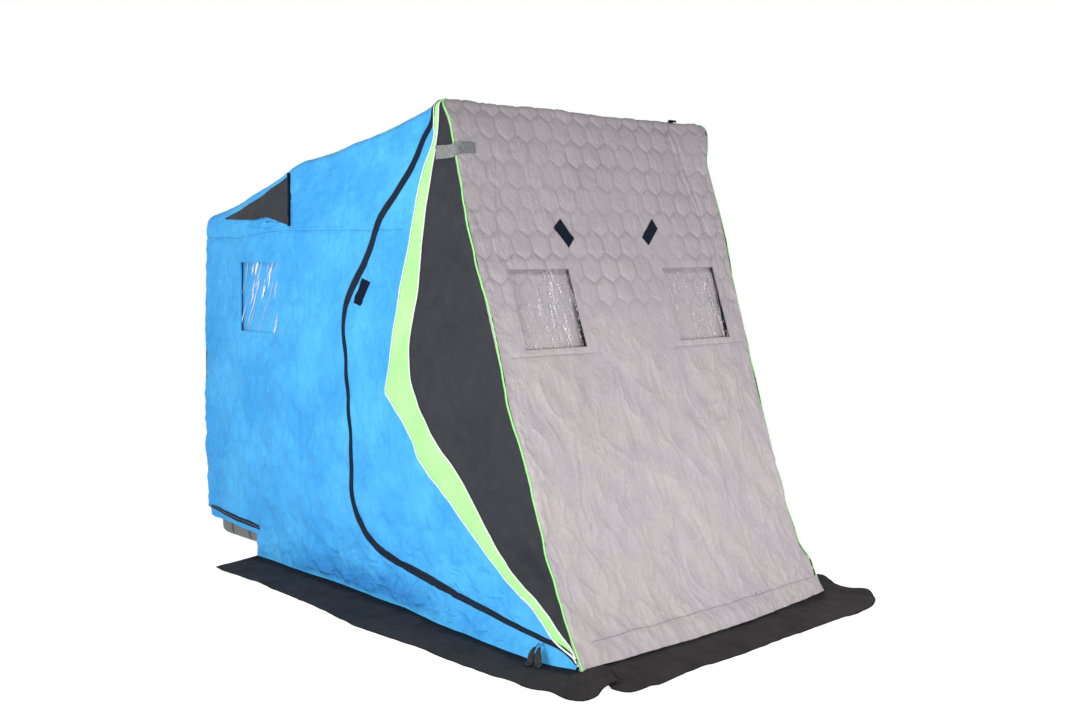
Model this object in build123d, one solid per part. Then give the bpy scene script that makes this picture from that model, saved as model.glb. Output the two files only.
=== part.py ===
from build123d import *
from math import atan, atan2, cos, hypot, radians, sin, tan
import os

# An ice fishing hut: a quilted fabric cover on four bent tube bows that pivot on a sled.
# Sizes are in millimetres. X runs across the hut, Y from its front to its rear and Z up.
# Side view points are (y, z), with y = 0 where the sloping front wall meets the ice.

# Cover, side view
WIDTH = 1402
FABRIC = 6
PEAK_Y, PEAK_Z = 703, 1900
KNEE_Y, KNEE_Z = 1699, 1716
REAR_TOP_Y, REAR_TOP_Z = 2442, 1518
REAR_Y, HEM_Z = 2508, 168
NOTCH_Y, NOTCH_Z = 2049, 128
ROOF_SAG = 14
REAR_ROOF_SAG = 20
REAR_BULGE = 36
SIDE_SEAM_Z = 1425

# Snow skirt, lying on the ice
SKIRT_T = 4
SKIRT_WIDTH = 250
SKIRT_FRONT = 290
SKIRT_TUCK = 26
SKIRT_CORNER_R = 60
SKIRT_END_SLANT = 70

# Side doors: the zip runs along the peak bow, down, and forward just above the ice
DOOR_GAP = 7
HINGE_GAP = 5
SEAM_T = 1.2
SEAM_LAP = 8
SEAM_EDGE = 0.5
ZIP_BEHIND_BOW = 6
DOOR_REAR_Y = 1358
DOOR_LEAN = 62
ZIP_LOW_REAR_Z = 204
ZIP_LOW_FRONT_Z = 42
ZIP_TOP_R = 170
ZIP_LOW_R = 340
SILL_TOP_Z = 500
ZIP_TAPE = 12
TRIM_T = 3

# Door bands, as (distance up the front edge, distance back from it)
STRIPE_TOP = (1958, 66)
STRIPE_SHOULDER = (1817, 213)
STRIPE_APEX = (1138, 712)
STRIPE_WAIST = (838, 580)
STRIPE_LOW = (438, 297)
PANEL_TOP = (1962, 36)
PANEL_APEX = (1208, 526)
PANEL_WAIST = (896, 468)
BAND_FOOT = 62
PANEL_FOOT = 88
APEX_R = 30
TAB_LENGTH = 96
TAB_WIDTH = 54
TAB_FROM_ZIP = 70
TAB_Z = 1212
TAB_TURN = -57

# Windows, vinyl on the inside of the cover with a flap behind
VINYL_T = 1
FLAP_T = 3
WINDOW_HEM = 14
FLAP_HEM = 28
FRONT_WINDOW_MARGIN = 136
FRONT_WINDOW_W = 314
FRONT_WINDOW_H = 304
FRONT_WINDOW_S = 1240
SIDE_WINDOW_Y = 1992
SIDE_WINDOW_Z = 1163
SIDE_WINDOW_W = 299
SIDE_WINDOW_H = 303

# Trim
PIPING_IN = 3
PIPING_W = 6
PIPING_H = 4
HEM_TAPE_H = 24
BAND_DROP = 42
BAND_LAP = 60
BAND_T = 4
BAND_END = 30
BAND_CORNER_R = 24
VENT_FROM_KNEE = 40
VENT_BELOW_ROOF = 22
VENT_HEIGHT = 200
VENT_LENGTH = 540
PATCH_FROM_EDGE = 463
PATCH_S = 1533
PATCH_W = 38
PATCH_H = 84
PATCH_TURN = 28
RIDGE_TAB_FROM_EDGE = 150
RIDGE_TAB_W = 36
RIDGE_TAB_H = 20
STRAP_S = 1838
STRAP_W = 50
STRAP_FRONT_L = 96
STRAP_SIDE_L = 92
STRAP_T = 2

# Bows of round tube and their pivot plates
TUBE_D = 22
TUBE_WALL = 2
BEND_R = 48
STUB = 62
LEG_CLEAR = 6
SEAT_GAP = 0.3
PIVOT_Y, PIVOT_Z = 1950, 420
LEG_START = 70
PLATE_R = 96
PLATE_T = 4

# Sled
SLED_FRONT_Y = 1460
SLED_REAR_GAP = 4
SLED_RIM_Z = 392
SLED_FLOOR_Z = 32
SLED_WALL = 6
SLED_TAPER = 26
SLED_LIP = 16
SLED_LIP_T = 8
SLED_CORNER_R = 90
SLED_CHINE_R = 26
GROOVE_PITCH = 140
GROOVE_W = 22
GROOVE_DEPTH = 3
RUNNER_W = 34
RUNNER_FROM_RIM = (203, 483)
RUNNER_INSET = 110

# Zip pulls, hanging at the foot of each zip onto the skirt
PULL_Y = 150
PULL_STEP = 62
PULL_L = 88
PULL_W = 24
PULL_T = 4

HALF = WIDTH / 2
PEAK = (PEAK_Y, PEAK_Z)
KNEE = (KNEE_Y, KNEE_Z)
REAR_TOP = (REAR_TOP_Y, REAR_TOP_Z)
REAR_HEM = (REAR_Y, HEM_Z)
FRONT_LENGTH = hypot(PEAK_Y, PEAK_Z)
FRONT_DIR = (PEAK_Y / FRONT_LENGTH, PEAK_Z / FRONT_LENGTH)
BACK_DIR = (FRONT_DIR[1], -FRONT_DIR[0])
DOWN = (0, -1)
BACK = (1, 0)


def along(point, direction, length):
    return (point[0] + direction[0] * length, point[1] + direction[1] * length)


def unit(p, q):
    length = hypot(q[0] - p[0], q[1] - p[1])
    return ((q[0] - p[0]) / length, (q[1] - p[1]) / length)


def flip(direction):
    return (-direction[0], -direction[1])


def turned(direction, angle):
    c, s = cos(angle), sin(angle)
    return (direction[0] * c - direction[1] * s, direction[0] * s + direction[1] * c)


def leaving(p, q, bulge):
    """The direction in which an arc from p to q leaves p; bulge is to the left of p to q."""
    chord = hypot(q[0] - p[0], q[1] - p[1])
    return turned(unit(p, q), 2 * atan(2 * bulge / chord))


def bulge_point(p, q, bulge):
    """The middle of an arc from p to q that bulges to the left."""
    middle = ((p[0] + q[0]) / 2, (p[1] + q[1]) / 2)
    return along(middle, turned(unit(p, q), radians(90)), bulge)


def nest(vertex, first, second, from_first, from_second):
    """The point inside a corner at these distances from its two edges."""
    cross = abs(first[0] * second[1] - first[1] * second[0])
    a, b = from_second / cross, from_first / cross
    return (vertex[0] + first[0] * a + second[0] * b, vertex[1] + first[1] * a + second[1] * b)


def meet(p, direction, q, other):
    """Where the line from p along a direction crosses the line from q along another."""
    cross = direction[0] * other[1] - direction[1] * other[0]
    t = ((q[0] - p[0]) * other[1] - (q[1] - p[1]) * other[0]) / cross
    return along(p, direction, t)


def front_point(s, back=0):
    """A side view point, s up the front edge and this far back from it."""
    return along(along((0, 0), FRONT_DIR, s), BACK_DIR, back)


# The cover's strips in side view, each from one corner to the next with its bulge outward
STRIPS = {
    "front_roof": (PEAK, KNEE, -ROOF_SAG),
    "rear_roof": (KNEE, REAR_TOP, -REAR_ROOF_SAG),
    "rear_wall": (REAR_TOP, REAR_HEM, REAR_BULGE),
}
FOOT = front_point(SKIRT_T / FRONT_DIR[1])
INNER_FOOT = (FOOT[0] + FABRIC / BACK_DIR[0], SKIRT_T)


def corner_directions(name):
    """The directions in which the two edges leave the corner where a strip starts."""
    start, end, bulge = STRIPS[name]
    if start == PEAK:
        return flip(FRONT_DIR), leaving(start, end, bulge)
    before = next(s for s in STRIPS.values() if s[1] == start)
    return leaving(start, before[0], -before[2]), leaving(start, end, bulge)


def inside(name, depth):
    """The point at a depth inside the corner where a strip starts."""
    first, second = corner_directions(name)
    return nest(STRIPS[name][0], first, second, depth, depth)


def inner_hem():
    """The inner edge of the rear wall's foot."""
    outward = turned(leaving(REAR_HEM, REAR_TOP, -REAR_BULGE), radians(-90))
    return (REAR_HEM[0] - FABRIC / abs(outward[0]), HEM_Z)


INNER = [inside(name, FABRIC) for name in STRIPS] + [inner_hem()]


def arc(p, q, bulge):
    return ThreePointArc(p, bulge_point(p, q, bulge), q)


def inner_arcs():
    """The inner faces of the roof and the rear wall, as arcs that follow the outer ones."""
    arcs = []
    for (start, end, bulge), p, q in zip(STRIPS.values(), INNER, INNER[1:]):
        middle = along(
            bulge_point(start, end, bulge), turned(unit(start, end), radians(-90)), FABRIC
        )
        arcs.append(ThreePointArc(p, middle, q))
    return arcs


def area(*lines):
    """The face inside a closed chain of lines and arcs."""
    return make_face([edge for line in lines for edge in line.edges()])


def polygon(*points):
    return area(Polyline(*points, close=True))


def plate(face, low, high):
    """A side view face given thickness across the hut, from x = low to x = high."""
    return Pos(low, 0, 0) * extrude(Plane.YZ * face, amount=high - low)


def across(face):
    """A side view face given the cover's full width."""
    return plate(face, -HALF, HALF)


def left_wall_plate(face):
    return plate(face, -HALF, -HALF + FABRIC)


def left_trim(face, thickness=TRIM_T):
    return plate(face, -HALF - thickness, -HALF)


def right(shape):
    return shape.mirror(Plane.YZ)


def front_plane(depth=0):
    """The front wall's plane, with x across and y up the slope, this deep inside it."""
    outward = Vector(0, -FRONT_DIR[1], FRONT_DIR[0])
    return Plane(origin=outward * -depth, x_dir=(1, 0, 0), z_dir=outward)


def on_front(sketch, start, end):
    """A sketch on the front wall, from one depth inside its outer face to another."""
    return extrude(front_plane(end) * sketch, amount=end - start)


parts = {}


def pair(name, shape):
    """One piece on the left and its mirror image on the right."""
    parts["left_" + name] = shape
    parts["right_" + name] = right(shape)


# Bow lines, from the pivot to the inside of each corner

NEST = FABRIC + TUBE_D / 2 + SEAT_GAP
BOWS = {
    "front": nest(FOOT, FRONT_DIR, BACK, NEST, TUBE_D / 2),
    "peak": inside("front_roof", NEST),
    "middle": inside("rear_roof", NEST),
    "rear": inside("rear_wall", NEST),
}
PIVOT = (PIVOT_Y, PIVOT_Z)
LEG_X = HALF - FABRIC - LEG_CLEAR - TUBE_D / 2


# Zip line and door zone

BOW_DIR = unit(PIVOT, BOWS["peak"])
ZIP_DIR = BOW_DIR
ZIP_START = along(BOWS["peak"], turned(BOW_DIR, radians(90)), ZIP_BEHIND_BOW)
DOOR_DOWN = (-DOOR_LEAN / SIDE_SEAM_Z, -1)
ZIP_TOP_CORNER = meet(ZIP_START, ZIP_DIR, (DOOR_REAR_Y, SIDE_SEAM_Z), DOOR_DOWN)
LOW_DIR = unit((0, ZIP_LOW_FRONT_Z), (DOOR_REAR_Y, ZIP_LOW_REAR_Z))
ZIP_LOW_CORNER = meet((0, ZIP_LOW_FRONT_Z), LOW_DIR, (DOOR_REAR_Y, SIDE_SEAM_Z), DOOR_DOWN)
BEYOND = 400


def door_zone(grow):
    """The side view area in front of the zip line, grown by an amount on its free sides."""
    top = along(ZIP_START, ZIP_DIR, BEYOND)
    low = along((0, ZIP_LOW_FRONT_Z), LOW_DIR, -BEYOND)
    line = FilletPolyline(
        top, ZIP_TOP_CORNER, ZIP_LOW_CORNER, low, radius=[ZIP_TOP_R, ZIP_LOW_R]
    )
    zone = area(line, Polyline(low, (-BEYOND, low[1]), (-BEYOND, top[1]), top))
    return offset(zone, amount=grow, kind=Kind.INTERSECTION) if grow else zone


def inner_outline():
    """The side of the cover between the front, the roof and the rear wall."""
    return area(
        Line(INNER_FOOT, INNER[0]),
        *inner_arcs(),
        Polyline(
            INNER[-1],
            (NOTCH_Y, NOTCH_Z),
            (NOTCH_Y, SKIRT_T),
            INNER_FOOT,
        ),
    )


def behind_front(distance):
    """The side view half plane that starts this far behind the front wall's outer face."""
    low, high = front_point(-BEYOND, distance), front_point(FRONT_LENGTH + BEYOND, distance)
    far = PEAK_Y + REAR_Y
    return polygon(low, (far, low[1]), (far, high[1]), high)


def edge_band(near, far, low, high):
    """The side view area between two distances back from the front edge and two up it."""
    return polygon(
        front_point(low, near), front_point(low, far), front_point(high, far), front_point(high, near)
    )


def box_area(y0, z0, y1, z1):
    return polygon((y0, z0), (y1, z0), (y1, z1), (y0, z1))


# Cover: front wall, roof strips and rear wall, across the full width

def window_pair(width, height, margin):
    sketch = Rectangle(width + 2 * margin, height + 2 * margin)
    middle = HALF - FRONT_WINDOW_MARGIN - FRONT_WINDOW_W / 2
    return [Pos(side * middle, FRONT_WINDOW_S) * sketch for side in (-1, 1)]


def front_wall():
    wall = across(area(Polyline(FOOT, PEAK, INNER[0], INNER_FOOT, close=True)))
    for hole in window_pair(FRONT_WINDOW_W, FRONT_WINDOW_H, 0):
        wall -= on_front(hole, -FABRIC, 2 * FABRIC)
    return wall


def strip(index, name):
    start, end, bulge = STRIPS[name]
    return across(
        area(
            arc(start, end, bulge),
            Line(end, INNER[index + 1]),
            inner_arcs()[index],
            Line(INNER[index], start),
        )
    )


parts["front_wall"] = front_wall()
for number, strip_name in enumerate(STRIPS):
    parts[strip_name] = strip(number, strip_name)


# Cover: side walls behind and below the doors

SIDE = inner_outline()
FRAME = SIDE - door_zone(DOOR_GAP / 2)
FAR = REAR_Y + BEYOND
SIDE_WINDOW = Pos(SIDE_WINDOW_Y, SIDE_WINDOW_Z) * Rectangle(SIDE_WINDOW_W, SIDE_WINDOW_H)
SILL_AREA = box_area(-BEYOND, 0, DOOR_REAR_Y, SILL_TOP_Z)
UPPER_AREA = box_area(-BEYOND, SIDE_SEAM_Z, FAR, PEAK_Z + BEYOND)

pair("upper_wall", left_wall_plate(FRAME & UPPER_AREA))
pair("side_wall", left_wall_plate(FRAME - UPPER_AREA - SILL_AREA - SIDE_WINDOW))
pair("door_sill", left_wall_plate(FRAME & SILL_AREA))


# Doors: a quilted panel, a bright stripe and a smooth front panel, with the zip's front half

def door_point(place):
    return front_point(place[0], place[1])


def stripe_zone():
    """The side view area in front of the stripe's rear edge."""
    points = [STRIPE_TOP, STRIPE_SHOULDER, STRIPE_APEX, STRIPE_WAIST, STRIPE_LOW, (BAND_FOOT, 0)]
    edge = FilletPolyline(*[door_point(p) for p in points], radius=[90, APEX_R, 90, 300])
    return area(edge, Polyline(*band_return(STRIPE_TOP, BAND_FOOT)))


def panel_zone():
    """The side view area in front of the stripe's front edge."""
    points = [PANEL_TOP, PANEL_APEX, PANEL_WAIST, (PANEL_FOOT, 0)]
    edge = FilletPolyline(*[door_point(p) for p in points], radius=[2 * APEX_R, 200])
    return area(edge, Polyline(*band_return(PANEL_TOP, PANEL_FOOT)))


def band_return(top, foot):
    """The way back from a band's foot to its top, outside the door."""
    return [
        front_point(foot, 0),
        front_point(foot, -BEYOND),
        front_point(FRONT_LENGTH, -BEYOND),
        front_point(FRONT_LENGTH, 0),
        door_point(top),
    ]


DOOR = (SIDE & door_zone(-DOOR_GAP / 2)) & behind_front(FABRIC + HINGE_GAP)
DOOR_EDGE = SIDE & door_zone(-DOOR_GAP / 2 - ZIP_TAPE)
WALL_EDGE = door_zone(DOOR_GAP / 2 + ZIP_TAPE)



SEAM_BAND = edge_band(SEAM_EDGE, FABRIC + HINGE_GAP + SEAM_LAP, SKIRT_T, FRONT_LENGTH)


def door_seam():
    """The seam that carries a door: a lap on its outer face that reaches the front corner."""
    cover = door_zone(-DOOR_GAP / 2) & SEAM_BAND
    lap = DOOR & SEAM_BAND
    outer = -HALF - SEAT_GAP
    return plate(cover, outer - SEAM_T, outer) + plate(lap, outer, -HALF)


pair("door", left_wall_plate(DOOR - stripe_zone()))
pair("door_stripe", left_wall_plate((DOOR & stripe_zone()) - panel_zone()))
pair("door_panel", left_wall_plate(DOOR & panel_zone()) + door_seam())
pair("door_zip", left_trim(DOOR - DOOR_EDGE - SEAM_BAND))
pair("wall_zip", left_trim(FRAME & WALL_EDGE))


def door_tab():
    """A hook-and-loop tab beside the zip."""
    middle = meet((0, TAB_Z), BACK, ZIP_TOP_CORNER, ZIP_DIR)
    shape = Pos(middle[0] - TAB_FROM_ZIP, TAB_Z) * Rot(0, 0, TAB_TURN) * Rectangle(TAB_LENGTH, TAB_WIDTH)
    return left_trim(shape)


pair("door_tab", door_tab())


# Windows

def side_window(margin):
    size = (SIDE_WINDOW_W + 2 * margin, SIDE_WINDOW_H + 2 * margin)
    return Pos(SIDE_WINDOW_Y, SIDE_WINDOW_Z) * Rectangle(*size)


WALL_INSIDE = -HALF + FABRIC
left_flap = plate(side_window(FLAP_HEM), WALL_INSIDE + VINYL_T, WALL_INSIDE + VINYL_T + FLAP_T)
flaps = [left_flap, right(left_flap)]
pair("window", plate(side_window(WINDOW_HEM), WALL_INSIDE, WALL_INSIDE + VINYL_T))
front_panes = window_pair(FRONT_WINDOW_W, FRONT_WINDOW_H, WINDOW_HEM)
for side_name, pane in zip(("left", "right"), front_panes):
    parts[f"front_{side_name}_window"] = on_front(pane, FABRIC, FABRIC + VINYL_T)
for flap in window_pair(FRONT_WINDOW_W, FRONT_WINDOW_H, FLAP_HEM):
    flaps.append(on_front(flap, FABRIC + VINYL_T, FABRIC + VINYL_T + FLAP_T))
parts["window_flaps"] = Compound(flaps)


# Skirt

def front_skirt():
    reach = HALF + SKIRT_WIDTH
    inner = FOOT[0] + SKIRT_TUCK
    sketch = polygon((-reach, -SKIRT_FRONT), (reach, -SKIRT_FRONT), (reach, inner), (-reach, inner))
    corners = sketch.vertices().group_by(Axis.Y)[0]
    return extrude(fillet(corners, SKIRT_CORNER_R), amount=SKIRT_T)


def side_skirt():
    low = FOOT[0] + SKIRT_TUCK
    inner = HALF - SKIRT_TUCK
    outer = HALF + SKIRT_WIDTH
    sketch = polygon(
        (-inner, low), (-outer, low), (-outer, NOTCH_Y - SKIRT_END_SLANT), (-inner, NOTCH_Y)
    )
    return extrude(sketch, amount=SKIRT_T)


parts["front_skirt"] = front_skirt()
pair("skirt", side_skirt())


# Trim on the cover

def piping():
    """A bead along the front edge and the roof edge, beside the corner."""
    outer = [front_point(SKIRT_T / FRONT_DIR[1], 0)]
    first, second = corner_directions("front_roof")
    knee_first, knee_second = corner_directions("rear_roof")
    rear_first, rear_second = corner_directions("rear_wall")
    peak = nest(PEAK, first, second, -PIPING_H, -PIPING_H)
    knee = nest(KNEE, knee_first, knee_second, -PIPING_H, -PIPING_H)
    rear = nest(REAR_TOP, rear_first, rear_second, -PIPING_H, 0)
    foot = (FOOT[0] - PIPING_H / BACK_DIR[0], SKIRT_T)
    lift = turned(unit(PEAK, KNEE), radians(90))
    rear_lift = turned(unit(KNEE, REAR_TOP), radians(90))
    face = area(
        Polyline(*outer, PEAK),
        arc(PEAK, KNEE, -ROOF_SAG),
        arc(KNEE, REAR_TOP, -REAR_ROOF_SAG),
        Line(REAR_TOP, rear),
        ThreePointArc(rear, along(bulge_point(KNEE, REAR_TOP, -REAR_ROOF_SAG), rear_lift, PIPING_H), knee),
        ThreePointArc(knee, along(bulge_point(PEAK, KNEE, -ROOF_SAG), lift, PIPING_H), peak),
        Polyline(peak, foot, outer[0]),
    )
    return plate(face, -HALF + PIPING_IN, -HALF + PIPING_IN + PIPING_W)


pair("piping", piping())


def hem_slope():
    return unit((NOTCH_Y, NOTCH_Z), INNER[-1])


def hem_tape():
    """The dark tape round the rear of the cover, just above its hem."""
    low, high = (NOTCH_Y, NOTCH_Z), INNER[-1]
    side = polygon(low, high, (high[0], high[1] + HEM_TAPE_H), (low[0], low[1] + HEM_TAPE_H))
    left = left_trim(side)
    direction = leaving(REAR_HEM, REAR_TOP, -REAR_BULGE)
    outward = turned(direction, radians(-90))
    a, b = REAR_HEM, along(REAR_HEM, direction, HEM_TAPE_H)
    rear = across(polygon(a, b, along(b, outward, TRIM_T), along(a, outward, TRIM_T)))
    return Compound([left, right(left), rear])


def lower_band():
    """The band that hangs below the hem, inside the cover."""
    low, high = (NOTCH_Y, NOTCH_Z), INNER[-1]
    end = high[0] - BAND_END
    top = HEM_Z + BAND_LAP
    sketch = polygon((low[0], low[1] - BAND_DROP / 2), (end, high[1] - BAND_DROP), (end, top), (low[0], top))
    corner = sketch.vertices().group_by(Axis.X)[-1].sort_by(Axis.Y)[0]
    sketch = fillet([corner], BAND_CORNER_R)
    left = plate(sketch, WALL_INSIDE, WALL_INSIDE + BAND_T)
    return left


band_left = lower_band()
parts["hem_tape"] = hem_tape()
parts["lower_band"] = Compound([band_left, right(band_left)])


def vent():
    """A triangular vent hood under the roof, behind the knee."""
    start = KNEE_Y + VENT_FROM_KNEE
    slope = unit(KNEE, REAR_TOP)
    top = (start, KNEE_Z + slope[1] / slope[0] * VENT_FROM_KNEE - REAR_ROOF_SAG / 2 - VENT_BELOW_ROOF)
    tail = (start + VENT_LENGTH, SIDE_SEAM_Z + (REAR_TOP_Z - SIDE_SEAM_Z) / 2)
    return left_trim(polygon(top, (start, top[1] - VENT_HEIGHT), tail))


pair("vent", vent())


def front_patches():
    diamond = Rectangle(PATCH_W, PATCH_H)
    left = on_front(Pos(PATCH_FROM_EDGE - HALF, PATCH_S) * Rot(0, 0, PATCH_TURN) * diamond, -TRIM_T, 0)
    tab = on_front(Pos(HALF - RIDGE_TAB_FROM_EDGE, FRONT_LENGTH) * Rectangle(RIDGE_TAB_W, RIDGE_TAB_H), -TRIM_T, 0)
    return Compound([left, right(left), tab])


def strap_front():
    """The reflective strap's part on the front wall, beside the left corner."""
    middle = -HALF + PIPING_IN + PIPING_W + STRAP_FRONT_L / 2
    return on_front(Pos(middle, STRAP_S) * Rectangle(STRAP_FRONT_L, STRAP_W), -STRAP_T, 0)


def strap_side():
    """The reflective strap's part on the left door, over its seam."""
    low, high = STRAP_S - STRAP_W / 2, STRAP_S + STRAP_W / 2
    sketch = edge_band(SEAM_EDGE, STRAP_SIDE_L, low, high)
    seam_face = -HALF - SEAT_GAP - SEAM_T
    return plate(sketch, seam_face - STRAP_T, seam_face)


parts["front_patches"] = front_patches()
parts["corner_strap"] = strap_front()
parts["left_door_strap"] = strap_side()


def zip_pulls():
    """Two pulls at the foot of each zip, resting on the skirt against the sill."""
    pulls = []
    for index in range(2):
        middle = PULL_Y + index * PULL_STEP
        low, high = (PULL_W / 2, PULL_W / 4)
        sketch = polygon(
            (-HALF - PULL_L, middle - low),
            (-HALF, middle - high),
            (-HALF, middle + high),
            (-HALF - PULL_L, middle + low),
        )
        pulls.append(Pos(0, 0, SKIRT_T) * extrude(sketch, amount=PULL_T))
    return Compound(pulls + [right(pull) for pull in pulls])


parts["zip_pulls"] = zip_pulls()


# Bows

def ring():
    return Circle(TUBE_D / 2) - Circle(TUBE_D / 2 - TUBE_WALL)


def crossbar(corner):
    """The top of one bow: a tube across the hut, bent down at both ends."""
    toward = unit(corner, PIVOT)
    end = along(corner, toward, STUB)
    points = [(-LEG_X, *end), (-LEG_X, *corner), (LEG_X, *corner), (LEG_X, *end)]
    path = FilletPolyline(*points, radius=BEND_R)
    start = Plane(origin=points[0], z_dir=(0, -toward[0], -toward[1]))
    return sweep(start * ring(), path=path)


def leg(corner):
    """One left leg, from its crossbar to the pivot plate."""
    toward = unit(corner, PIVOT)
    top, foot = along(corner, toward, STUB), along(PIVOT, toward, -LEG_START)
    start = Plane(origin=(-LEG_X, *top), z_dir=(0, *toward))
    return extrude(start * ring(), amount=hypot(foot[0] - top[0], foot[1] - top[1]))


parts["bow_crossbars"] = Compound([crossbar(corner) for corner in BOWS.values()])
pair("bow_legs", Compound([leg(corner) for corner in BOWS.values()]))
PLATE_X = LEG_X - TUBE_D / 2
pair("pivot_plate", plate(Pos(*PIVOT) * Circle(PLATE_R), -PLATE_X, -PLATE_X + PLATE_T))


# Sled

SLED_REAR_Y = INNER[-1][0] - SLED_REAR_GAP
SLED_LENGTH = SLED_REAR_Y - SLED_FRONT_Y
SLED_MIDDLE = (SLED_REAR_Y + SLED_FRONT_Y) / 2
RIM_X = PLATE_X - PLATE_T
TUB_TOP_X = RIM_X - SLED_LIP


def tub_shape(inset, floor):
    """The tub's outline as a solid, inset on its sides, from a floor height up to the rim."""
    top_w = 2 * (TUB_TOP_X - inset)
    top_l = SLED_LENGTH - 2 * (SLED_LIP + inset)
    share = (SLED_RIM_Z - floor) / (SLED_RIM_Z - SLED_FLOOR_Z)
    radius = SLED_CORNER_R - inset
    low_w, low_l = top_w - 2 * SLED_TAPER * share, top_l - 2 * SLED_TAPER * share
    low = Pos(0, SLED_MIDDLE, floor) * RectangleRounded(low_w, low_l, radius)
    high = Pos(0, SLED_MIDDLE, SLED_RIM_Z) * RectangleRounded(top_w, top_l, radius)
    block = loft([low.face(), high.face()])
    return fillet(block.faces().sort_by(Axis.Z)[0].edges(), SLED_CHINE_R - inset)


def grooves():
    """Bars that cut the upright grooves round the tub's sides."""
    bars = []
    height = SLED_RIM_Z - SLED_FLOOR_Z
    middle_z = (SLED_RIM_Z + SLED_FLOOR_Z) / 2
    count = int((SLED_LENGTH - 2 * SLED_CORNER_R) / GROOVE_PITCH)
    for index in range(count):
        y = SLED_MIDDLE + (index - (count - 1) / 2) * GROOVE_PITCH
        bars.append(Pos(0, y, middle_z) * Box(2 * RIM_X, GROOVE_W, height))
    return bars


def sled_tub():
    tub = tub_shape(0, SLED_FLOOR_Z)
    inset = tub_shape(GROOVE_DEPTH, SLED_FLOOR_Z)
    for bar in grooves():
        tub -= bar - inset
    lip = Pos(0, SLED_MIDDLE, SLED_RIM_Z - SLED_LIP_T) * extrude(
        RectangleRounded(2 * RIM_X, SLED_LENGTH, SLED_CORNER_R + SLED_LIP), amount=SLED_LIP_T
    )
    return tub + lip - tub_shape(SLED_WALL, SLED_FLOOR_Z + SLED_WALL)


def runners():
    length = SLED_LENGTH - 2 * RUNNER_INSET
    bars = []
    for inboard in RUNNER_FROM_RIM:
        for side in (-1, 1):
            middle = (side * (RIM_X - inboard), SLED_MIDDLE, SLED_FLOOR_Z / 2)
            bars.append(Pos(*middle) * Box(RUNNER_W, length, SLED_FLOOR_Z))
    return Compound(bars)


parts["sled_tub"] = sled_tub()
parts["sled_runners"] = runners()


# The origin is on the ice, in the middle of the whole length

REAR_MOST = parts["rear_wall"].bounding_box().max.Y
MIDDLE_Y = (REAR_MOST - SKIRT_FRONT) / 2

print("middle y", round(MIDDLE_Y, 3))
os.makedirs("parts", exist_ok=True)
for part_name, shape in parts.items():
    export_step(Pos(0, -MIDDLE_Y, 0) * shape, f"parts/{part_name}.step")
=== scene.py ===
"""A pitched flip-over ice fishing shelter: a quilted cover on four bent bows over a sled.

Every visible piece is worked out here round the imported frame, in metres. X runs across the hut,
Y from its front to its rear and Z up. A place on the cover's side is (back, rise): how far it lies
behind the front foot, and how high up the cloth. A place on the cover's middle strip is
(across, run): from the hut's middle, and along the strip from the front foot over the peak.
"""

import math

import bpy
import numpy as np
from bpy.props import FloatProperty, FloatVectorProperty, PointerProperty
from mathutils import Matrix, Vector


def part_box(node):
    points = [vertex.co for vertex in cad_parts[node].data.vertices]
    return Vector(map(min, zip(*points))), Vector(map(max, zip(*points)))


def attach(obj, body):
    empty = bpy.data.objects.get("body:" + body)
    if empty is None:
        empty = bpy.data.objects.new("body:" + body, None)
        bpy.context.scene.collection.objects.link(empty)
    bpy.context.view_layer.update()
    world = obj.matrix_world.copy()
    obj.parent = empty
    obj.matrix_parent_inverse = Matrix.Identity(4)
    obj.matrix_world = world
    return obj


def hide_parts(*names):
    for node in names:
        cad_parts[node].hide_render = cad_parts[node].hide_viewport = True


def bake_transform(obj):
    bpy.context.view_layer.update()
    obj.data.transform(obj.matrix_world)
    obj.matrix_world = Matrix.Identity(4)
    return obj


bl_info = {
    "name": "Ice Fishing Shelter",
    "version": (1, 0, 0),
    "blender": (4, 5, 0),
    "location": "3D View > Sidebar > Shelter",
    "description": "Builds a quilted flip-over ice fishing shelter round its packed frame",
    "category": "Add Mesh",
}

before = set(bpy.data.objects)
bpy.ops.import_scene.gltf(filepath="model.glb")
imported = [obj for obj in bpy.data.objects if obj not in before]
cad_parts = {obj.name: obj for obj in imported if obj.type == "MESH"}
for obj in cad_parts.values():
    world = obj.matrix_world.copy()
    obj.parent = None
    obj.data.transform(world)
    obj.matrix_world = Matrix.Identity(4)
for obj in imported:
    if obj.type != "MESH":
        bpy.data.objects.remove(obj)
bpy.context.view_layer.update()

SHELTER = "shelter"
SIDES = {"left": -1, "right": 1}

# The cover's own lines, the same as the frame's
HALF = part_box("front_wall")[1].x
SKIRT_FRONT = 0.29
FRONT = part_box("front_skirt")[0].y + SKIRT_FRONT
PEAK = np.array((0.711, 1.9213))
KNEE = np.array((1.7, 1.738))
REAR_TOP = np.array((2.45, 1.524))
REAR_HEM = np.array((2.499, 0.168))
NOTCH = np.array((2.049, 0.128))
ROOF_SAG, REAR_ROOF_SAG, REAR_BULGE = -0.02, -0.014, 0.036
CLOTH = 0.006
GROUND = 0.006
SIDE_SEAM = 1.425
KNEE_SEAM = 1.7
LEAN = PEAK[0] / PEAK[1]
UP = PEAK / np.hypot(*PEAK)

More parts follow.
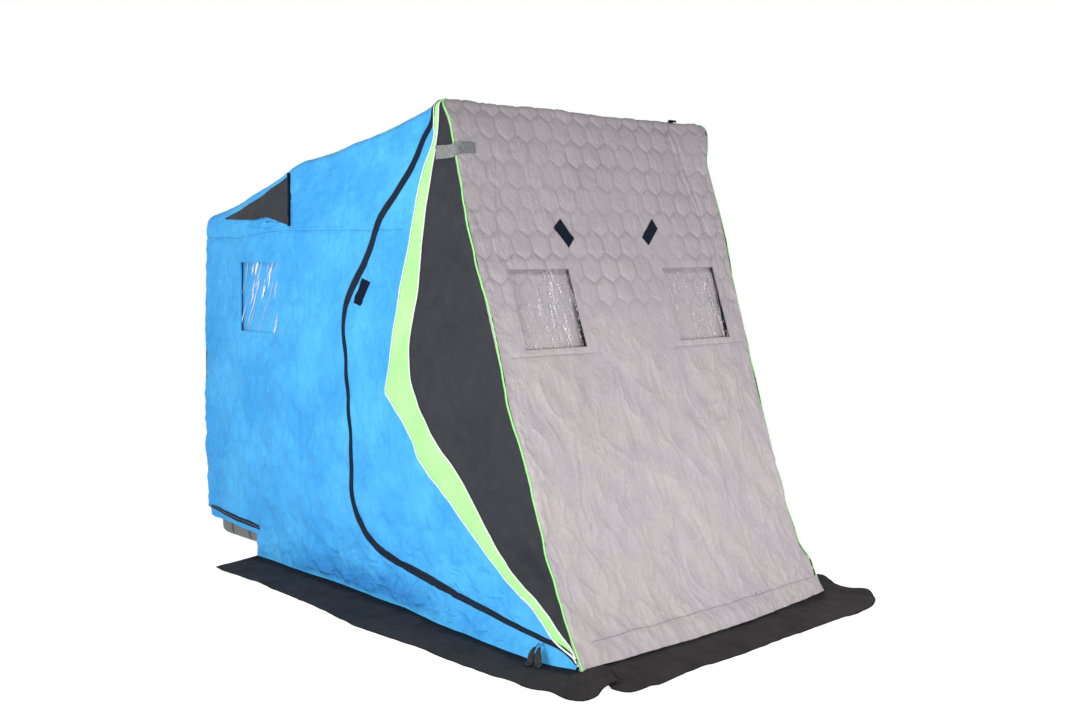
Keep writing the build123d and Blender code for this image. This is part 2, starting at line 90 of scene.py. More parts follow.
# How far the cloth of the front edge lies back from a straight line, by height
EDGE_RISE = (
    0.0, 0.05, 0.1, 0.15, 0.2, 0.25, 0.3, 0.35, 0.4, 0.45, 0.5, 0.6, 0.7, 0.8, 0.9, 1.1, 1.3, 1.5, 1.6, 1.7,
    1.8, 1.86, 1.89, 1.93,
)
EDGE_BACK = (
    -0.079, -0.05, -0.019, 0.004, 0.023, 0.028, 0.029, 0.034, 0.027, 0.0225, 0.025, 0.019, 0.019, 0.028,
    0.024, 0.018, 0.009, -0.001, -0.008, -0.015, -0.025, -0.022, -0.014, -0.002,
)
# How far each front edge lies in from the side, by height
EDGE_IN_RISE = (
    0.0, 0.06, 0.12, 0.18, 0.25, 0.3, 0.4, 0.5, 0.6, 0.7, 0.8, 0.9, 1.0, 1.1, 1.2, 1.3, 1.4, 1.5, 1.6, 1.7,
    1.76, 1.83, 1.9, 1.93,
)
EDGE_IN = {
    -1: (
        0.0, 0.012, 0.0224, 0.0296, 0.033, 0.031, 0.025, 0.02, 0.016, 0.014, 0.014, 0.014, 0.014, 0.012,
        0.009, 0.006, 0.0035, 0.001, 0.0005, 0.0, 0.0, 0.0, 0.0, 0.0,
    ),
    1: (
        0.016, 0.03, 0.0285, 0.0389, 0.036, 0.0423, 0.0434, 0.0492, 0.0501, 0.0476, 0.0344, 0.0332, 0.0241,
        0.0205, 0.019, 0.0201, 0.0116, 0.0103, 0.0111, 0.0173, 0.0182, -0.0123, -0.044, -0.05,
    ),
}
# How far the foot of the side spreads on the ice, by place behind the front foot
FOOT_BACK = (-0.1, -0.06, 0.0, 0.06, 0.15, 0.28, 0.45, 0.58, 0.92, 1.34, 1.7, 2.1)
FOOT_SPREAD = (0.03, 0.033, 0.052, 0.068, 0.073, 0.071, 0.062, 0.054, 0.02, 0.004, 0.006, 0.004)
FOOT_HEIGHT = 0.22
# How far the foot of the front wall spreads, by place across it
FOOT_ACROSS = (-0.76, -0.7, -0.62, -0.55, -0.44, -0.14, 0.24, 0.55, 0.66, 0.7, 0.76)
FRONT_SPREAD = (0.0, 0.0, 0.02, 0.038, 0.05, 0.062, 0.042, 0.02, 0.006, 0.0, 0.0)
FRONT_FOOT_HEIGHT = 0.16
# Behind the front edge the side's cloth is drawn in up to here, and shifted back for each bit
# that the left front edge lies in; the roof's edge is drawn in up to ROOF_REACH behind the peak
CORNER_REACH, CORNER_SHIFT, ROOF_REACH = 0.45, 1.1, 0.4
# How far in from its full width the cloth may lie over the right peak bow
OVER_BOW = 0.0055
# Window flaps and the lower band are of thinner cloth
THIN_CLOTH = 0.003
SKIRT_WIDE = 0.26
SLENDER = 0.32

# Lines on the side, as (back, rise)
PANEL_LINE = (
    (0.726, 1.793), (0.775, 1.597), (0.818, 1.4), (0.845, 1.229), (0.886, 1.077), (0.9, 0.97),
    (0.889, 0.88), (0.848, 0.797), (0.744, 0.676), (0.62, 0.572), (0.533, 0.487), (0.416, 0.354),
    (0.314, 0.261), (0.208, 0.195), (0.102, 0.137), (0.035, 0.095), (-0.02, 0.06),
)
STRIPE_LINE = (
    (0.748, 1.776), (0.823, 1.635), (0.887, 1.414), (0.952, 1.226), (1.013, 0.994), (1.052, 0.842),
)
STRIPE_FOOT_LINE = (
    (1.05, 0.822), (0.957, 0.738), (0.886, 0.66), (0.831, 0.582), (0.709, 0.496), (0.58, 0.401),
    (0.422, 0.28), (0.334, 0.219), (0.179, 0.143), (0.07, 0.081), (0.011, 0.056), (-0.028, 0.042),
)
ZIP_LINE = (
    (0.756, 1.842), (0.812, 1.779), (0.87, 1.691), (0.958, 1.602), (1.048, 1.529), (1.095, 1.484),
    (1.148, 1.396), (1.19, 1.329), (1.249, 1.258), (1.307, 1.185), (1.333, 1.127), (1.344, 1.066),
    (1.329, 0.99), (1.318, 0.886), (1.307, 0.773), (1.3, 0.612), (1.301, 0.49), (1.293, 0.389),
    (1.254, 0.313), (1.191, 0.254), (1.109, 0.208), (0.962, 0.17), (0.798, 0.149), (0.704, 0.138),
    (0.625, 0.126), (0.523, 0.112), (0.435, 0.103), (0.362, 0.095), (0.283, 0.086), (0.187, 0.077),
    (0.12, 0.07), (0.057, 0.065), (0.024, 0.059),
)

# Where the door's lines meet at the foot of the front corner, and where the zip turns forward
CORNER_FOOT = (-0.048, 0.026)
ZIP_TURN = (1.255, 0.31)

# The zip's width as a share of the full one, by length from its top
ZIP_ALONG = (0.0, 0.12, 0.3, 0.5, 0.86, 0.95, 1.06, 1.52, 1.68, 1.85, 2.4, 2.58, 2.95)
ZIP_SHARE = (0.5, 0.74, 0.9, 1.0, 1.12, 1.05, 0.72, 0.58, 0.82, 0.97, 1.0, 0.75, 0.46)

# The skirt's edges on the ice, by stations round the hut: inner x, inner back, outer x, outer back
LEFT_SKIRT = (
    (-0.69, 2.06, -0.939, 1.99), (-0.686, 1.9, -0.953, 1.87), (-0.684, 1.769, -0.949, 1.769),
    (-0.684, 1.46, -0.945, 1.46), (-0.684, 1.196, -0.964, 1.196), (-0.69, 0.876, -0.988, 0.876),
    (-0.712, 0.669, -0.981, 0.669), (-0.732, 0.462, -0.974, 0.462), (-0.752, 0.3, -0.974, 0.3),
    (-0.756, 0.19, -0.973, 0.18), (-0.754, 0.12, -0.9717, 0.067), (-0.75, 0.07, -0.967, -0.011),
    (-0.744, 0.03, -0.969, -0.07), (-0.738, 0.005, -0.955, -0.108), (-0.73, -0.008, -0.94, -0.14),
    (-0.722, -0.016, -0.945, -0.203), (-0.714, -0.02, -0.941, -0.246), (-0.704, -0.022, -0.911, -0.272),
    (-0.69, -0.023, -0.85, -0.268), (-0.67, -0.024, -0.807, -0.248), (-0.648, -0.025, -0.77, -0.239),
    (-0.626, -0.026, -0.744, -0.238), (-0.605, -0.028, -0.725, -0.24),
)
FRONT_SKIRT = (
    (-0.66, -0.018, -0.768, -0.251), (-0.652, -0.019, -0.766, -0.281), (-0.64, -0.021, -0.748, -0.306),
    (-0.622, -0.023, -0.708, -0.314), (-0.59, -0.027, -0.65, -0.318), (-0.54, -0.031, -0.58, -0.316),
    (-0.44, -0.034, -0.45, -0.303), (-0.3, -0.038, -0.305, -0.304), (-0.14, -0.04, -0.14, -0.298),
    (0.05, -0.034, 0.05, -0.288), (0.25, -0.02, 0.25, -0.282), (0.4, -0.012, 0.41, -0.273),
    (0.52, -0.006, 0.54, -0.273), (0.6, 0.0, 0.64, -0.262), (0.636, 0.01, 0.71, -0.237),
    (0.66, 0.022, 0.77, -0.195), (0.672, 0.034, 0.815, -0.142), (0.68, 0.048, 0.818, -0.098),
    (0.686, 0.064, 0.805, -0.05), (0.694, 0.086, 0.812, 0.004), (0.702, 0.118, 0.836, 0.062),
    (0.714, 0.166, 0.862, 0.12), (0.724, 0.224, 0.88, 0.2), (0.73, 0.322, 0.905, 0.32),
    (0.734, 0.462, 0.946, 0.47), (0.714, 0.669, 0.968, 0.669), (0.69, 0.876, 0.972, 0.876),
    (0.684, 1.196, 0.951, 1.196), (0.684, 1.46, 0.938, 1.46), (0.684, 1.769, 0.94, 1.769),
    (0.686, 1.9, 0.938, 1.88), (0.69, 2.06, 0.924, 1.992),
)
# Humps of the skirt: x, back, half width and half length, height
SKIRT_HUMPS = (
    (-0.9, -0.19, 0.05, 0.06, 0.01), (-0.935, 0.02, 0.04, 0.07, 0.006), (-0.8, -0.2, 0.035, 0.05, 0.006),
    (-0.66, -0.19, 0.022, 0.11, 0.01), (-0.56, -0.2, 0.03, 0.09, 0.006), (-0.92, 0.56, 0.05, 0.12, 0.007),
    (-0.93, 1.08, 0.04, 0.14, 0.007), (-0.92, 1.62, 0.04, 0.06, 0.008), (0.7, -0.18, 0.05, 0.06, 0.012),
    (0.8, -0.125, 0.045, 0.045, 0.018), (0.8, -0.04, 0.04, 0.05, 0.006),
    (0.842, 0.115, 0.04, 0.06, 0.014), (0.88, 0.33, 0.06, 0.09, 0.012),
)

# Windows: the front ones as (across, run), the side ones as (back, rise)
PANES = {"left": (-0.567, -0.262), "right": (0.251, 0.57)}
PANE_RUN = (1.085, 1.389)
SIDE_PANE = (1.857, 2.17, 1.012, 1.318)


def length(name, about, default, low, high):
    return FloatProperty(
        name=name, description=about, default=default, min=low, max=high, subtype="DISTANCE", unit="LENGTH",
    )


def colour(name, about, default):
    return FloatVectorProperty(
        name=name, description=about, subtype="COLOR", size=3, min=0, max=1, default=default,
    )


class ShelterSizes(bpy.types.PropertyGroup):
    """Sizes of the cloth, its quilting and its trim."""

    grid: length("Cloth Grid", "Distance between the points of the cloth", 0.0066, 0.004, 0.05)
    quilt_pitch: length("Quilt Cell", "Width across the flats of one quilted cell", 0.094, 0.04, 0.3)
    quilt_puff: length("Quilt Puff", "How far a cell stands above its stitched lines", 0.0026, 0.0, 0.01)
    wrap: length("Top Bend", "Radius at which the side wraps over the bows", 0.032, 0.01, 0.08)
    zip_width: length("Zip Width", "Width of both halves of the zip together", 0.033, 0.01, 0.06)
    edging: length("Stripe Edging", "Width of the pale tape beside the stripe", 0.0062, 0.002, 0.02)
    piping: length("Piping", "Thickness of the cord in the piping", 0.0042, 0.003, 0.015)
    skirt_fold: length("Skirt Fold", "Height of the skirt's folds", 0.012, 0.0, 0.04)
    pane_ripple: length("Pane Ripple", "Depth of the ripples in the clear panes", 0.0022, 0.0, 0.006)
    vent_lift: length("Vent Lift", "How far the vent hood stands off the side", 0.024, 0.002, 0.05)


class ShelterColours(bpy.types.PropertyGroup):
    """Colours of the cloth and its trim."""

    grey: colour("Grey Quilt", "Front, roof and rear cloth", (0.458, 0.415, 0.44))
    grey_warm: colour("Grey Quilt Warm", "The warmer tone of the grey cloth", (0.505, 0.448, 0.445))
    blue: colour("Blue Quilt", "Side cloth", (0.082, 0.487, 0.93))
    blue_deep: colour("Blue Quilt Deep", "The deeper tone of the side cloth", (0.048, 0.378, 0.82))
    lime: colour("Lime", "Stripe of the doors", (0.45, 0.985, 0.34))
    lime_piping: colour("Lime Piping", "Piping along the edges", (0.44, 0.93, 0.33))
    black: colour(
        "Black Cloth", "Smooth front panel of the doors, vents and patches", (0.0235, 0.0255, 0.032),
    )
    skirt: colour("Skirt", "Skirt on the ice", (0.0345, 0.031, 0.0325))
    zip_tape: colour("Zip", "Zips, tapes and hems", (0.0065, 0.0125, 0.027))
    edging: colour("Edging", "Pale tape beside the stripe", (0.9, 0.93, 0.88))
    webbing: colour("Reflective Webbing", "Strap across the corner", (0.245, 0.25, 0.252))
    lining: colour("Lining", "Inside of the cover", (0.035, 0.036, 0.04))
    sled: colour("Sled", "Moulded sled", (0.15, 0.148, 0.15))
    metal: colour("Bows", "Tubes and plates", (0.56, 0.57, 0.59))


class ShelterStage(bpy.types.PropertyGroup):
    """Camera, lamps and floor."""

    camera: FloatVectorProperty(
        name="Camera", description="Place of the camera", subtype="TRANSLATION", unit="LENGTH", size=3,
        default=(-3.6016, -4.1508, 1.3877),
    )
    heading: FloatProperty(
        name="Heading", description="Camera's heading from +Y towards +X", subtype="ANGLE", default=0.7358,
    )
    tilt: FloatProperty(
        name="Tilt", description="Camera's tilt above the horizon", subtype="ANGLE", default=-0.0863,
    )
    roll: FloatProperty(name="Roll", description="Camera's roll", subtype="ANGLE", default=0.0034)
    lens: FloatProperty(
        name="Lens", description="Focal length", subtype="DISTANCE_CAMERA", unit="CAMERA", default=43.16,
    )
    sky: FloatProperty(
        name="Sky Light", description="Strength of the even light from all round", default=0.25, min=0.0,
        max=3.0,
    )
    key: FloatProperty(
        name="Key Lamp", description="Power of the large lamp in front", unit="POWER", default=68.0,
        min=0.0,
    )
    fill: FloatProperty(
        name="Side Lamp", description="Power of the large lamp at the left", unit="POWER", default=140.0,
        min=0.0,
    )


def sizes():
    return bpy.context.scene.shelter_sizes


def colours():
    return bpy.context.scene.shelter_colours


# Lines and grids


def curve_through(points, count):
    """`count` points, evenly apart, on the smooth line through the given ones.

    Between two points the line is a cubic whose slope at each is half the step between its
    neighbours, worked out for all stretches at once and then divided by length."""
    p = np.asarray(points, float)
    ends = np.vstack((2 * p[0] - p[1], p, 2 * p[-1] - p[-2]))
    t = np.linspace(0, 1, 24, endpoint=False)[None, :, None]
    a, b, c, d = (ends[i : len(ends) - 3 + i, None, :] for i in range(4))
    fine = 0.5 * (2 * b + (c - a) * t + (2 * a - 5 * b + 4 * c - d) * t**2 + (3 * b - a - 3 * c + d) * t**3)
    return even(np.vstack((fine.reshape(-1, p.shape[1]), p[-1:])), count)


def run_along(points):
    """How far along a line each of its points is."""
    return np.concatenate(((0.0,), np.cumsum(np.linalg.norm(np.diff(points, axis=0), axis=1))))


def even(points, count):
    """The same line with `count` points evenly apart along its length."""
    run = run_along(points)
    at = np.linspace(0, run[-1], count)
    return np.stack([np.interp(at, run, points[:, k]) for k in range(points.shape[1])], -1)


def length_of(points):
    return float(np.linalg.norm(np.diff(points, axis=0), axis=1).sum())


def smooth_table(places, values):
    """A function that follows a table smoothly: its cubic line through the rows, read by place."""
    line = curve_through(np.stack((places, values), -1), 400)
    return lambda at: np.interp(at, line[:, 0], line[:, 1])


def stops(marks, pitch, group=3):
    """Rising positions through every mark, at most a pitch apart, in whole groups of cells."""
    runs = []
    for a, b in zip(marks, marks[1:]):
        cells = group * max(1, math.ceil((b - a) / pitch / group))
        runs.append(np.linspace(a, b, cells, endpoint=False))
    return np.concatenate(runs + [np.array(marks[-1:])])


def ease(x):
    """0 below 0, 1 above 1, and a smooth S between."""
    x = np.clip(x, 0, 1)
    return x * x * (3 - 2 * x)


edge_back = smooth_table(EDGE_RISE, EDGE_BACK)
edge_in = {side: smooth_table(EDGE_IN_RISE, table) for side, table in EDGE_IN.items()}
foot_spread = smooth_table(FOOT_BACK, FOOT_SPREAD)
front_spread = smooth_table(FOOT_ACROSS, FRONT_SPREAD)


def near_foot(z):
    """1 at the ice, falling as a square to 0 at the height where the side stops spreading."""
    return np.clip(1 - z / FOOT_HEIGHT, 0, 1) ** 2


def edge_place(z):
    """How far back the front edge is at a height."""
    return z * LEAN + edge_back(z) - CORNER_SHIFT * edge_in[-1](z)


def bowed(start, end, bulge, count):
    """Points from start to end on an arc: the chord, plus a parabola that is `bulge` high."""
    t = np.linspace(0, 1, count, endpoint=False)[:, None]
    along = (end - start) / np.hypot(*(end - start))
    return start + (end - start) * t + np.array((-along[1], along[0])) * bulge * 4 * t * (1 - t)


class Strip:
    """The cover's middle strip in side view: front wall, roof, rear roof and rear wall.

    It is one line of straight and bowed runs, read by length, whose corners are rounded by
    averaging the line over the width of a bow."""

    ROUND, STEP = 0.018, 0.002

    def __init__(self):
        corners = (UP * (GROUND / UP[1]), PEAK, KNEE, REAR_TOP, REAR_HEM)
        bulges, counts = (0.0, ROOF_SAG, REAR_ROOF_SAG, REAR_BULGE), (500, 160, 160, 160)
        runs = [bowed(*ends) for ends in zip(corners, corners[1:], bulges, counts)]
        lengths = [length_of(np.vstack((run, end))) for run, end in zip(runs, corners[1:])]
        self.marks = np.concatenate(((0.0,), np.cumsum(lengths)))
        self.run = np.arange(0, self.marks[-1], self.STEP)
        points = even(np.vstack(runs + [REAR_HEM]), len(self.run))
        half = int(self.ROUND / self.STEP)
        before = points[0] - (points[half:0:-1] - points[0])
        after = 2 * points[-1] - points[-2 : -half - 2 : -1]
        padded = np.vstack((before, points, after))
        kernel = np.ones(2 * half + 1) / (2 * half + 1)
        self.points = np.stack([np.convolve(padded[:, k], kernel, "valid") for k in (0, 1)], -1)
        slope = np.gradient(self.points, axis=0)
        slope /= np.linalg.norm(slope, axis=1)[:, None]
        self.outward = np.stack((-slope[:, 1], slope[:, 0]), -1)

    def at(self, run):
        """The strip's place behind the front foot, and its height."""
        return (np.interp(run, self.run, self.points[:, k]) for k in (0, 1))

    def facing(self, run):
        """The two parts of the direction that the strip looks to."""
        return (np.interp(run, self.run, self.outward[:, k]) for k in (0, 1))

    def roof_height(self, back):
        """The height of the roof over a place, from the peak to the rear top corner."""
        a, b = np.searchsorted(self.run, (self.marks[1], self.marks[3]))
        return np.interp(back, self.points[a:b, 0], self.points[a:b, 1])

    def rear_back(self, rise):
        """How far back the rear wall is at a height."""
        a = np.searchsorted(self.run, self.marks[3])
        return np.interp(rise, self.points[a:, 1][::-1], self.points[a:, 0][::-1])


STRIP = Strip()


# Relief of the cloth


def ripple(u, v, seed, wave, count=7, drawn=1.0):
    """Smooth waves in chance directions: the sum of some sines about a wave long, near -1 to 1.

    `drawn` above 1 draws the waves out along v."""
    chance = np.random.default_rng(seed)
    turns, scales, starts = (
        chance.uniform(*ends, count) for ends in ((0, math.pi), (0.7, 1.6), (0, 2 * math.pi))
    )
    total = 0.0
    for turn, scale, start in zip(turns, scales, starts):
        slant = u * math.cos(turn) + v * math.sin(turn) / drawn
        total = total + np.sin(2 * math.pi / (wave * scale) * slant + start)
    return total / math.sqrt(count)


def crease(u, v, seed, wave, drawn=1.0, sharp=4.0):
    """Narrow raised creases, 0 to 1: where the waves pass through nothing."""
    warp = 0.35 * wave * ripple(u, v, seed + 50, wave * 1.7)
    return np.clip(1 - np.abs(ripple(u + warp, v - warp, seed, wave, 6, drawn)), 0, 1) ** sharp


def cell_edge(u, v, pitch):
    """How far a place is from the nearest edge of its six-sided quilt cell.

    The cells' middles are two square grids, one between the other; the nearer one is the cell's,
    and the distance to its edge is half the pitch less the greatest of its three widths."""
    wide, tall = pitch, pitch * math.sqrt(3)
    au, av = np.mod(u, wide) - wide / 2, np.mod(v, tall) - tall / 2
    bu, bv = np.mod(u - wide / 2, wide) - wide / 2, np.mod(v - tall / 2, tall) - tall / 2
    near = au**2 + av**2 < bu**2 + bv**2
    gu, gv = np.abs(np.where(near, au, bu)), np.abs(np.where(near, av, bv))
    return pitch / 2 - np.maximum(gu, gu / 2 + gv * math.sqrt(3) / 2)


# How much longer the quilt's cells are than wide, beside a regular six-sided cell
STRETCH = 1.14


def quilt(u, v, seed=3):
    """Height of quilted cloth: cells that puff up between stitched lines, softer in places."""
    edge = cell_edge(u, v / STRETCH, sizes().quilt_pitch)
    puff = 1 - (1 - np.clip(edge / 0.034, 0, 1)) ** 2
    line = np.exp(-((edge / 0.006) ** 2))
    firm = 0.65 + 0.35 * ripple(u, v, seed, 0.45)
    return sizes().quilt_puff * (puff - 0.45 * line) * firm


def dip(distance, depth, width):
    """A rounded groove along a line, as deep as `depth` and about twice `width` wide."""
    return -depth * np.exp(-((distance / width) ** 2))


def beyond_box(u, v, low, high, bottom, top):
    """How far outside a box a place is; below 0 inside it."""
    beside = np.abs(u - (low + high) / 2) - (high - low) / 2
    return np.maximum(beside, np.abs(v - (bottom + top) / 2) - (top - bottom) / 2)


def slow_waves(back, rise):
    """The slow waves that every cloth of a side shares, so that neighbours meet."""
    return 0.0034 * ripple(back, rise, 11, 0.38) + 0.0012 * ripple(back, rise, 12, 0.13) - 0.001


def along_fold(back, rise, turn):
    """A place's distances across and along a direction, `turn` above the level."""
    return -back * math.sin(turn) + rise * math.cos(turn), back * math.cos(turn) + rise * math.sin(turn)


class SewnLines:
    """How near a place on the side is to a sewn line, from a table worked out once.

    The table holds, on an even grid, each place's distance to the nearest point of the lines;
    `free` reads it between four neighbours and is 0 on a line and 1 well away from it."""

    STEP = 0.006

    def __init__(self):
        lines = np.vstack([line(340) for line in (panel_line, stripe_line, zip_line, front_edge)])
        self.low = np.array((-0.1, -0.02))
        self.shape = (int(2.75 / self.STEP), int(2.05 / self.STEP))
        back, rise = (self.low[k] + np.arange(self.shape[k]) * self.STEP for k in (0, 1))
        reach = np.empty(self.shape)
        for rows in np.array_split(np.arange(self.shape[0]), 24):
            away = (back[rows, None, None] - lines[:, 0]) ** 2 + (rise[None, :, None] - lines[:, 1]) ** 2
            reach[rows] = np.sqrt(away.min(-1))
        self.reach = reach

    def free(self, back, rise, width=0.022):
        back, rise = np.broadcast_arrays(back, rise)
        u = np.clip((back - self.low[0]) / self.STEP, 0, self.shape[0] - 1.001)
        v = np.clip((rise - self.low[1]) / self.STEP, 0, self.shape[1] - 1.001)
        i, j = u.astype(int), v.astype(int)
        u, v = u - i, v - j
        r = self.reach
        near = (
            (r[i, j] * (1 - u) + r[i + 1, j] * u) * (1 - v)
            + (r[i, j + 1] * (1 - u) + r[i + 1, j + 1] * u) * v
        )
        return 1 - np.exp(-((near / width) ** 2))


def sewn():
    if "sewn" not in MADE:
        MADE["sewn"] = SewnLines()
    return MADE["sewn"]


def seam_rise(back):
    """How high the seam along the side is: level in front of the knee, and lower behind it."""
    return np.interp(back, (1.78, 1.88, 1.98, 2.2, 2.45), (1.454, 1.446, 1.437, 1.429, 1.4255))


def side_relief(back, rise):
    """Height of the side's cloth: quilting, creases and a crumpled foot on the slow waves."""
    free = sewn().free(back, rise)
    low = (1 - ease(rise / 0.34)) * ease((2.15 - back) / 0.5)
    high = ease((rise - 1.2) / 0.2)
    height = quilt(back, rise) * (1 - 0.6 * low) * (1 - 0.3 * high)
    height = height + 0.0014 * ripple(back, rise, 16, 0.055)
    height = (
        height
        + 0.003 * crease(*along_fold(back, rise, 1.25), 13, 0.1, 3.0, 2.5)
        * (0.4 + 0.6 * ease((0.62 - np.abs(rise - 0.75)) / 0.4))
    )
    height = height + 0.0022 * high * crease(*along_fold(back, rise, 0.12), 17, 0.06, 4.0, 2.5)
    height = (
        height + 0.0036 * ease((1.15 - rise) / 0.3) * ripple(*along_fold(back, rise, 1.0), 12, 0.13, 7, 1.8)
    )
    height = height + low * 0.012 * crease(*along_fold(back, rise, 0.42), 14, 0.085, 2.2, 1.6)
    height = height + low * (
        0.0055 * crease(*along_fold(back, rise, -0.5), 18, 0.06, 1.6, 2.0)
        + 0.0035 * ripple(back, rise, 15, 0.075)
    )
    height = (
        height * (1 - 0.75 * ease((rise - top_rise(back) + 0.07) / 0.05))
        + dip(rise - seam_rise(back), 0.0035, 0.007)
    )
    height = height + ease((SIDE_SEAM - rise) / 0.02) * dip(back - KNEE_SEAM, 0.0025, 0.006)
    under_vent = np.exp(-(((back - 1.9) / 0.15) ** 4) - ((rise - 1.478) / 0.034) ** 2)
    height = height + under_vent * 0.01 * crease(*along_fold(back, rise, 0.75), 19, 0.04, 2.2, 1.6)
    window = beyond_box(back, rise, *SIDE_PANE)
    height = height * ease(window / 0.03 + 0.1) * ease((rise - GROUND) / 0.04)
    return slow_waves(back, rise) + free * (height - 0.0015)


def side_place(side, back, rise, proud=0.0, relief=side_relief):
    """Where a place on the side's cloth is, with `proud` more height.

    Up to the bend the cloth stands upright; above it, it turns over the bow with the bend's radius
    until it lies level at the roof's height. Near the front edge it is drawn in, but not so far
    that the right peak bow comes through it, and at its foot it spreads on the ice."""
    wrap = sizes().wrap
    top = STRIP.roof_height(back)
    turn = np.clip((rise - (top - wrap)) / wrap, 0, math.pi / 2)
    z = np.where(turn > 0, top - wrap + wrap * np.sin(turn), rise)
    behind = np.clip(back - z * LEAN, 0, None)
    fade = 1 - ease(behind / CORNER_REACH)
    spread = foot_spread(back) * near_foot(z)
    height = relief(back, rise)
    x = HALF - wrap * (1 - np.cos(turn)) - edge_in[side](z) * fade + spread + height * np.cos(turn)
    over_bow = ease((z - 1.5) / 0.1) * ease((behind - 0.05) / 0.09)
    over_bow = over_bow * (1 - ease((behind - 0.3) / 0.1)) * (turn == 0)
    x = np.maximum(x, (HALF - OVER_BOW) * over_bow * (side > 0)) + proud * np.cos(turn)
    height = height + proud
    lift = ridge_lift(back, z) * (side < 0)
    shift = (CORNER_SHIFT * edge_in[-1](z) + right_heel(z) * (side > 0)) * fade
    return np.stack((side * x, back + FRONT + shift, z + height * np.sin(turn) + lift), -1)


def top_rise(back):
    """How high up the cloth the side's top edge is."""
    return STRIP.roof_height(back) + sizes().wrap * (math.pi / 2 - 1)


def front_edge(count):
    """The line where the side meets the front wall, from the ice up to the top of the bend."""
    bend = PEAK[1] - sizes().wrap
    turn = np.linspace(0, math.pi / 2, 24)
    rise = np.concatenate((np.linspace(GROUND, bend, 300, endpoint=False), bend + sizes().wrap * turn))
    z = np.concatenate((rise[:300], bend + sizes().wrap * np.sin(turn)))
    return even(np.stack((edge_place(z), rise), -1), count)


def top_end(back):
    return (back, float(top_rise(back)))


def panel_line(count):
    """The stripe's front edge, from the top down to the foot."""
    return curve_through((top_end(0.706), *PANEL_LINE, CORNER_FOOT), count)


def stripe_line(count):
    """The stripe's rear edge, which turns sharply at its widest place."""
    top = curve_through((top_end(0.738), (0.744, 1.83), *STRIPE_LINE), 300)
    foot = curve_through((*STRIPE_FOOT_LINE, CORNER_FOOT), 300)
    return even(np.vstack((top, foot)), count)


def zip_line(count):
    """The zip, from the top down the door's rear and forward to the foot."""
    return curve_through((top_end(0.742), *ZIP_LINE, (-0.006, 0.049), (-0.03, 0.038), CORNER_FOOT), count)


# Meshes


def new_piece(name, points, faces, uv=None, smooth_angle=50):
    """A mesh object from points, faces and, for each point, its place on the flat cloth."""
    mesh = bpy.data.meshes.new(name)
    mesh.from_pydata(points, [], faces)
    if uv is not None:
        at = np.empty(len(mesh.loops), np.int32)
        mesh.loops.foreach_get("vertex_index", at)
        layer = mesh.uv_layers.new(name="Cloth")
        layer.data.foreach_set("uv", np.asarray(uv, np.float32)[at].ravel())
    mesh.shade_smooth()
    mesh.set_sharp_from_angle(angle=math.radians(smooth_angle))
    mesh.validate()
    piece = bpy.data.objects.new(name, mesh)
    bpy.context.scene.collection.objects.link(piece)
    return piece


def normals_of(surface):
    """Unit normals of a grid: the cross product of its two directions."""
    normal = np.cross(np.gradient(surface, axis=0), np.gradient(surface, axis=1))
    return normal / np.maximum(np.linalg.norm(normal, axis=2), 1e-12)[..., None]


def area_of(outline):
    """Twice the area inside an outline, above 0 when it runs against the clock."""
    x, y = outline.T
    return float(np.sum(x * np.roll(y, -1) - np.roll(x, -1) * y))


